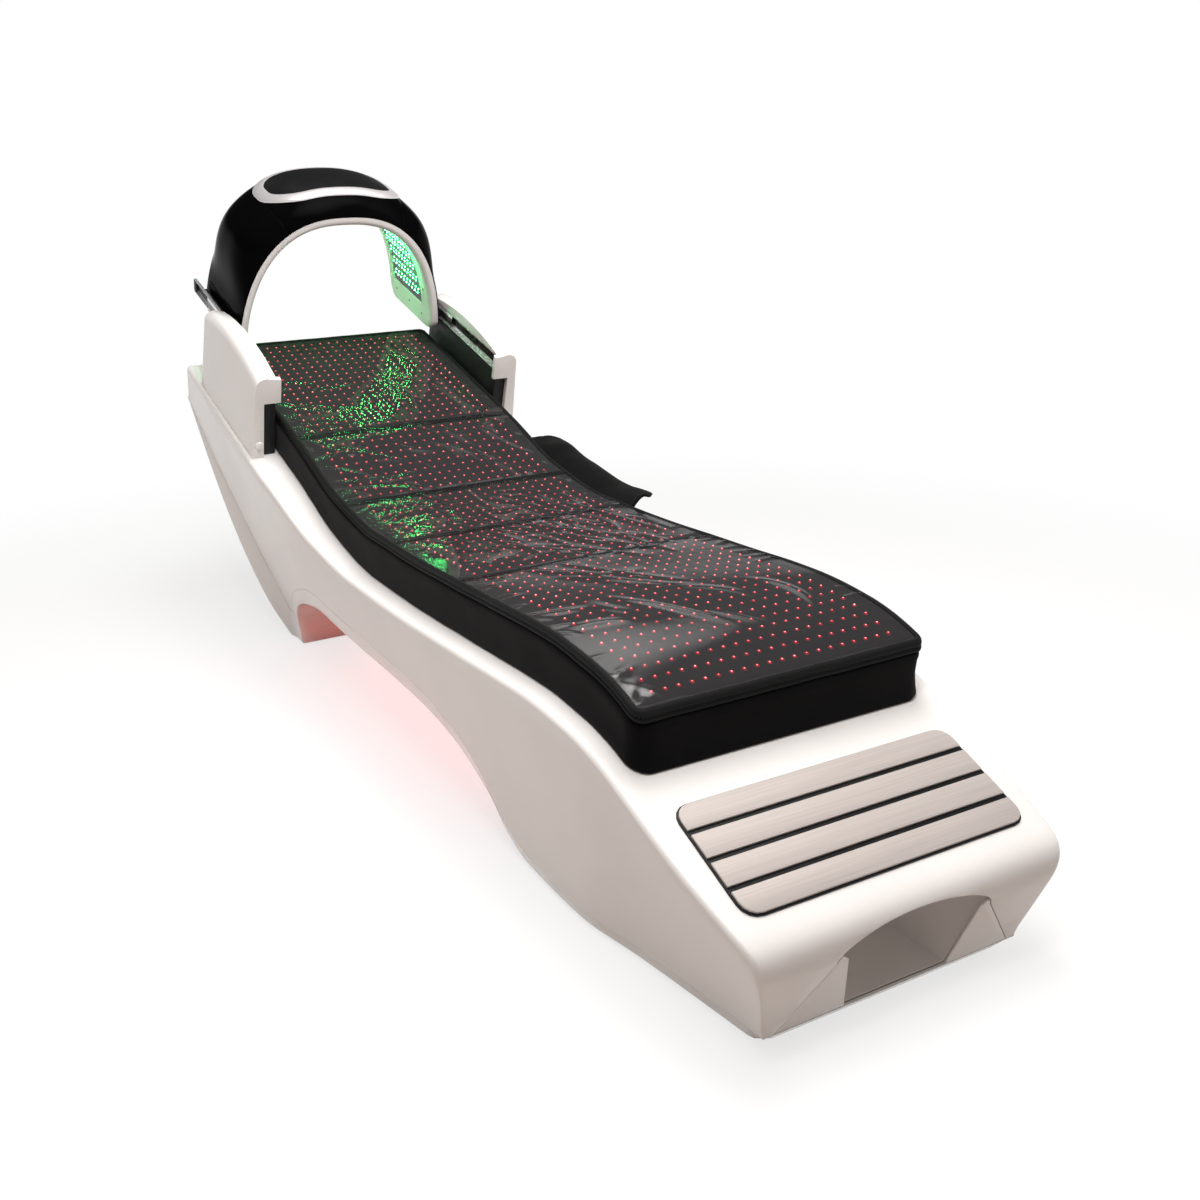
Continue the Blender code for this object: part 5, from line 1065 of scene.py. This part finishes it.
# Dome
# Three gloss black mouldings over a white liner. The liner carries a window of green LEDs on a black board, and a
# satin panel with a silver ring is let into the crown. The whole dome rides on the inner rails.
DOME_FRONT, DOME_DEPTH, DOME_HALF, DOME_BASE, DOME_RISE, DOME_POWER = 0.327, 0.295, 0.284, 0.070, 0.397, 2.45
DOME_LEG_END, DOME_SEAM_Y, FRONT_CORNER, REAR_CORNER = 0.140, 0.150, 0.026, 0.050
COVER_RIM, COVER_LEG, COVER_CROWN, COVER_WALL, COVER_EDGE = 0.003, 0.0065, 0.060, 0.004, 0.0009
CROWN_FROM, CROWN_SPAN, CROWN_POWER = 0.225, 0.175, 3.6
half_depth = DOME_DEPTH / 2
arch_points, arch_normals, arch_runs = [], [], []
for a in np.linspace(math.pi, 0, 1441):
    c, s = math.cos(a), math.sin(a)
    y, rise = DOME_HALF * math.copysign(abs(c) ** (2 / DOME_POWER), c), DOME_RISE * abs(s) ** (2 / DOME_POWER)
    if DOME_BASE + rise >= DOME_LEG_END:
        spot = Vector((y, DOME_BASE + rise))
        arch_runs.append(arch_runs[-1] + (spot - arch_points[-1]).length if arch_points else 0.0)
        arch_points.append(spot)
        arch_normals.append(Vector((math.copysign(abs(y) ** (DOME_POWER - 1), y) / DOME_HALF ** DOME_POWER,
                                    rise ** (DOME_POWER - 1) / DOME_RISE ** DOME_POWER)).normalized())
arch_table = np.array([[*p, *n] for p, n in zip(arch_points, arch_normals)])
ARCH = arch_runs[-1]


def arch_at(run):
    """Place across, height and outward direction at a run round the arch."""
    return [float(np.interp(run, arch_runs, arch_table[:, k])) for k in range(4)]


def dome_point(run, along, rise):
    """Place on the dome: run round the arch, distance back from its middle, rise off the rim line."""
    y, h, ny, nh = arch_at(run)
    return head_point(DOME_FRONT + half_depth + along, y + ny * rise, h + nh * rise)


def cover_rise(run, along):
    """Height of the black cover over the rim line: crowned from front to back, thickest at the top."""
    crown = lerp(COVER_LEG, COVER_CROWN, ease((arch_at(run)[1] - CROWN_FROM) / CROWN_SPAN))
    return COVER_RIM + (crown - COVER_RIM) * (1.0 - min(1.0, abs(along) / half_depth) ** CROWN_POWER)


def end_share(run, along):
    """How much of its depth the dome keeps near its rounded leg ends."""
    distance, corner = min(run, ARCH - run), FRONT_CORNER if along < 0 else REAR_CORNER
    if distance >= corner:
        return 1.0
    return 1.0 - (corner - math.sqrt(corner ** 2 - (corner - distance) ** 2)) / half_depth


def sweep(name, runs, section, material, smooth=40):
    """Body swept round the arch from one closed section for each run, with capped ends."""
    return new_tube(name, [[dome_point(run, along * end_share(run, along), rise) for along, rise in section(run)]
                           for run in runs], material, smooth)


def end_runs(start, end, step):
    """Runs from start to end, closer at a rounded leg end."""
    close = [REAR_CORNER * (1 - math.cos(a)) for a in np.linspace(0, math.pi / 2, 14)]
    runs = list(np.linspace(start, end, max(2, math.ceil((end - start) / step)) + 1))
    if start == 0.0:
        runs = close + [r for r in runs if r > REAR_CORNER + 0.002]
    if end == ARCH:
        runs = [r for r in runs if r < ARCH - REAR_CORNER - 0.002] + [ARCH - c for c in close[::-1]]
    return runs


dome_gloss_black = moulded("dome_gloss_black", (0.0015, 0.0015, 0.0017), (6.0, 0.06, 0.03), (45.0, 0.03, 0.0005),
                           (0.0022, 0.0022, 0.0024), IOR=1.05)
quarter = np.linspace(0, math.pi / 2, 13)
depth_shares = np.concatenate([-np.cos(quarter), np.sin(quarter)[1:]])


def cover_section(run):
    outer = [(q * half_depth, cover_rise(run, q * half_depth)) for q in depth_shares]
    return outer + [(along, max(GAP, rise - COVER_WALL)) for along, rise in outer[::-1]]


first, second = np.interp((-DOME_SEAM_Y, DOME_SEAM_Y), arch_table[:, 0], arch_runs)
for name, start, end in (("left", 0.0, first - GAP), ("center", first + GAP, second - GAP),
                         ("right", second + GAP, ARCH)):
    cover = sweep("dome_cover_" + name, end_runs(start, end, 0.010), cover_section, dome_gloss_black)
    bevel(cover, COVER_EDGE, 2, 50)
    settle(cover, 45)
    dress(cover, "dome", "dome_shell_" + name)

LIP, LIP_ROUND, LIP_TOP, RECESS, RECESS_EDGE, RECESS_RUN = 0.022, 0.012, -0.006, 0.006, 0.0015, 0.007
WINDOW_START, WINDOW_END = 0.055, ARCH - 0.055
window_front, window_rear = -half_depth + 0.060, half_depth - 0.040


def liner_section(run):
    """From the front rim over the rounded lip, through the window's recess and back to the rear rim."""
    turn = [(LIP_ROUND * (1 - math.cos(a)), LIP_ROUND * math.sin(a)) for a in np.linspace(0, math.pi / 2, 7)]
    lip = [(0.0, -GAP), (0.0, LIP_TOP)] + [(along, -LIP + LIP_ROUND - up) for along, up in turn]
    sunk = -LIP + RECESS * clamp(min(run - WINDOW_START, WINDOW_END - run) / RECESS_RUN)
    edge = -LIP + RECESS_EDGE if sunk > -LIP else -LIP
    window = [(window_front - RECESS_EDGE, -LIP), (window_front, edge), (window_front + 0.0004, sunk),
              (window_rear - 0.0004, sunk), (window_rear, edge), (window_rear + RECESS_EDGE, -LIP)]
    return ([(-half_depth + along, rise) for along, rise in lip] + window
            + [(half_depth - along, rise) for along, rise in lip[::-1]])


liner_runs = sorted(set(end_runs(0.0, ARCH, 0.010) + [
    WINDOW_START, WINDOW_START + RECESS_RUN, WINDOW_END - RECESS_RUN, WINDOW_END]))
liner = sweep("dome_inner_liner", liner_runs, liner_section, shell_white, 50)
dress(liner, "dome", "dome_liner")

board_black = moulded("board_black", (0.004, 0.008, 0.006), (60.0, 0.4, 0.1), (400.0, 0.2, 0.0003),
                      (0.007, 0.011, 0.009))
BOARD_FLOOR, BOARD_THICK, BOARD_SHY = -LIP + RECESS - 0.0005, 0.003, 0.001
board_alongs = np.linspace(window_front + BOARD_SHY, window_rear - BOARD_SHY, 12)
board_ring = [(along, BOARD_FLOOR) for along in board_alongs]
board_ring += [(along, BOARD_FLOOR - BOARD_THICK) for along in board_alongs[::-1]]
board = sweep("dome_board", np.linspace(WINDOW_START + BOARD_SHY, WINDOW_END - BOARD_SHY, 120), lambda run: board_ring,
              board_black)
dress(board, "dome", "dome_led_board")

PAIR_PITCH, PAIR_HALF, GREEN_COLUMNS, GREEN_DROP, WINDOW_SHY = 0.038, 0.0073, 9, 0.0032, 0.010
green_lens = lamp_material("green_lens", (0.005, 0.05, 0.025), (0.0, 0.10, 0.04), (0.0, 0.18, 0.065), 1.0)
green_core = lamp_material("green_core", (0.10, 0.30, 0.15), (0.05, 0.75, 0.150), (0.075, 1.0, 0.210), 55.0)
green_pitch = (window_rear - window_front - WINDOW_SHY) / (GREEN_COLUMNS + 0.5)
pairs = int((WINDOW_END - WINDOW_START - 0.012) / PAIR_PITCH)
led_places = []
for pair in range(pairs):
    for row in (0, 1):
        run = ARCH / 2 + (pair + 0.5 - pairs / 2) * PAIR_PITCH + (2 * row - 1) * PAIR_HALF
        led_places += [tuple(dome_point(run, (window_front + window_rear) / 2 + green_pitch * (
            j - GREEN_COLUMNS / 2 + 0.25 + 0.5 * row), BOARD_FLOOR - GREEN_DROP)) for j in range(GREEN_COLUMNS)]
dome_leds = grow("dome_leds", led_places, [f[::-1] for f in sheet_faces(2 * pairs, GREEN_COLUMNS)], led_tree, {
    "Lens Radius": 0.0058, "Lens Height": 0.30, "Core Radius": 0.0028, "Dimmest": 0.7, "Seed": 4, "Lens": green_lens,
    "Core": green_core})
dress(dome_leds, "dome", slot="glow_red")

screw_dark = moulded("screw_dark", (0.05, 0.05, 0.05), (80.0, 0.36, 0.1), (500.0, 0.2, 0.0002), metallic=0.8)
for hand in ("left", "right"):
    softened("dome_screw_" + hand, screw_dark, 0.0003, "dome")
for hand in ("left", "right"):
    for n, (from_end, along) in enumerate(((0.026, -0.085), (0.032, 0.090), (0.110, -0.110))):
        run = from_end if hand == "left" else ARCH - from_end
        spot = dome_point(run, along, -LIP - GAP)
        screw_row(f"liner_screw_{hand}_{n + 1}", [spot], dome_point(run, along, -2 * LIP) - spot, 0.0028, 0.0011,
                  screw_dark, "dome")

PANEL_ARC, PANEL_DEPTH, PANEL_CORNER, PANEL_LIFT, PANEL_THICK, TRIM = 0.139, 0.079, 0.064, 0.0012, 0.0025, 0.026
TRIM_PROFILE = [(TRIM - GAP, 0.0), (0.0, 0.0), (0.0006, 0.0020), (0.0028, 0.0034), (0.007, 0.0043), (0.013, 0.0045),
                (0.019, 0.0043), (0.0235, 0.0035), (TRIM - GAP, 0.0024)]


def crown_point(arc, along, lift):
    return dome_point(ARCH / 2 + arc, along, cover_rise(ARCH / 2 + arc, along) + lift)


panel_satin_black = moulded("panel_satin_black", (0.008, 0.008, 0.0085), (12.0, 0.50, 0.06), (900.0, 0.12, 0.0002),
                            (0.014, 0.014, 0.0145), IOR=1.15)
trim_silver = moulded("trim_silver", (0.74, 0.72, 0.73), (20.0, 0.35, 0.05), (300.0, 0.05, 0.0003), (0.68, 0.66, 0.67),
                      0.55)
rows = []
for arc in pad_places(-PANEL_ARC, PANEL_ARC, 0.008, PANEL_CORNER, PANEL_CORNER):
    wide = corner_width(arc, -PANEL_ARC, PANEL_ARC, PANEL_DEPTH, PANEL_CORNER, PANEL_CORNER)
    rows.append([crown_point(arc, q * wide, PANEL_LIFT + PANEL_THICK) for q in np.linspace(-1, 1, 24)])
top_panel = new_sheet("dome_crown_panel", rows, panel_satin_black)
middle_face = top_panel.data.polygons[len(top_panel.data.polygons) // 2]
if middle_face.normal.dot(crown_point(0, 0, 1.0) - crown_point(0, 0, 0.0)) < 0:
    top_panel.data.flip_normals()
thicken(top_panel, PANEL_THICK)
settle(top_panel)
dress(top_panel, "dome", "dome_top_panel")

outer = (-PANEL_ARC - TRIM, PANEL_ARC + TRIM, PANEL_DEPTH + TRIM, PANEL_CORNER + TRIM)
rings = [[crown_point(*round_inset(arc, along, *outer, inset), PANEL_LIFT + up) for inset, up in TRIM_PROFILE]
         for arc, along in round_loop(*outer, 0.008, 5)]
trim = new_tube("dome_silver_ring", rings, trim_silver, 50, True)
dress(trim, "dome", "dome_trim")
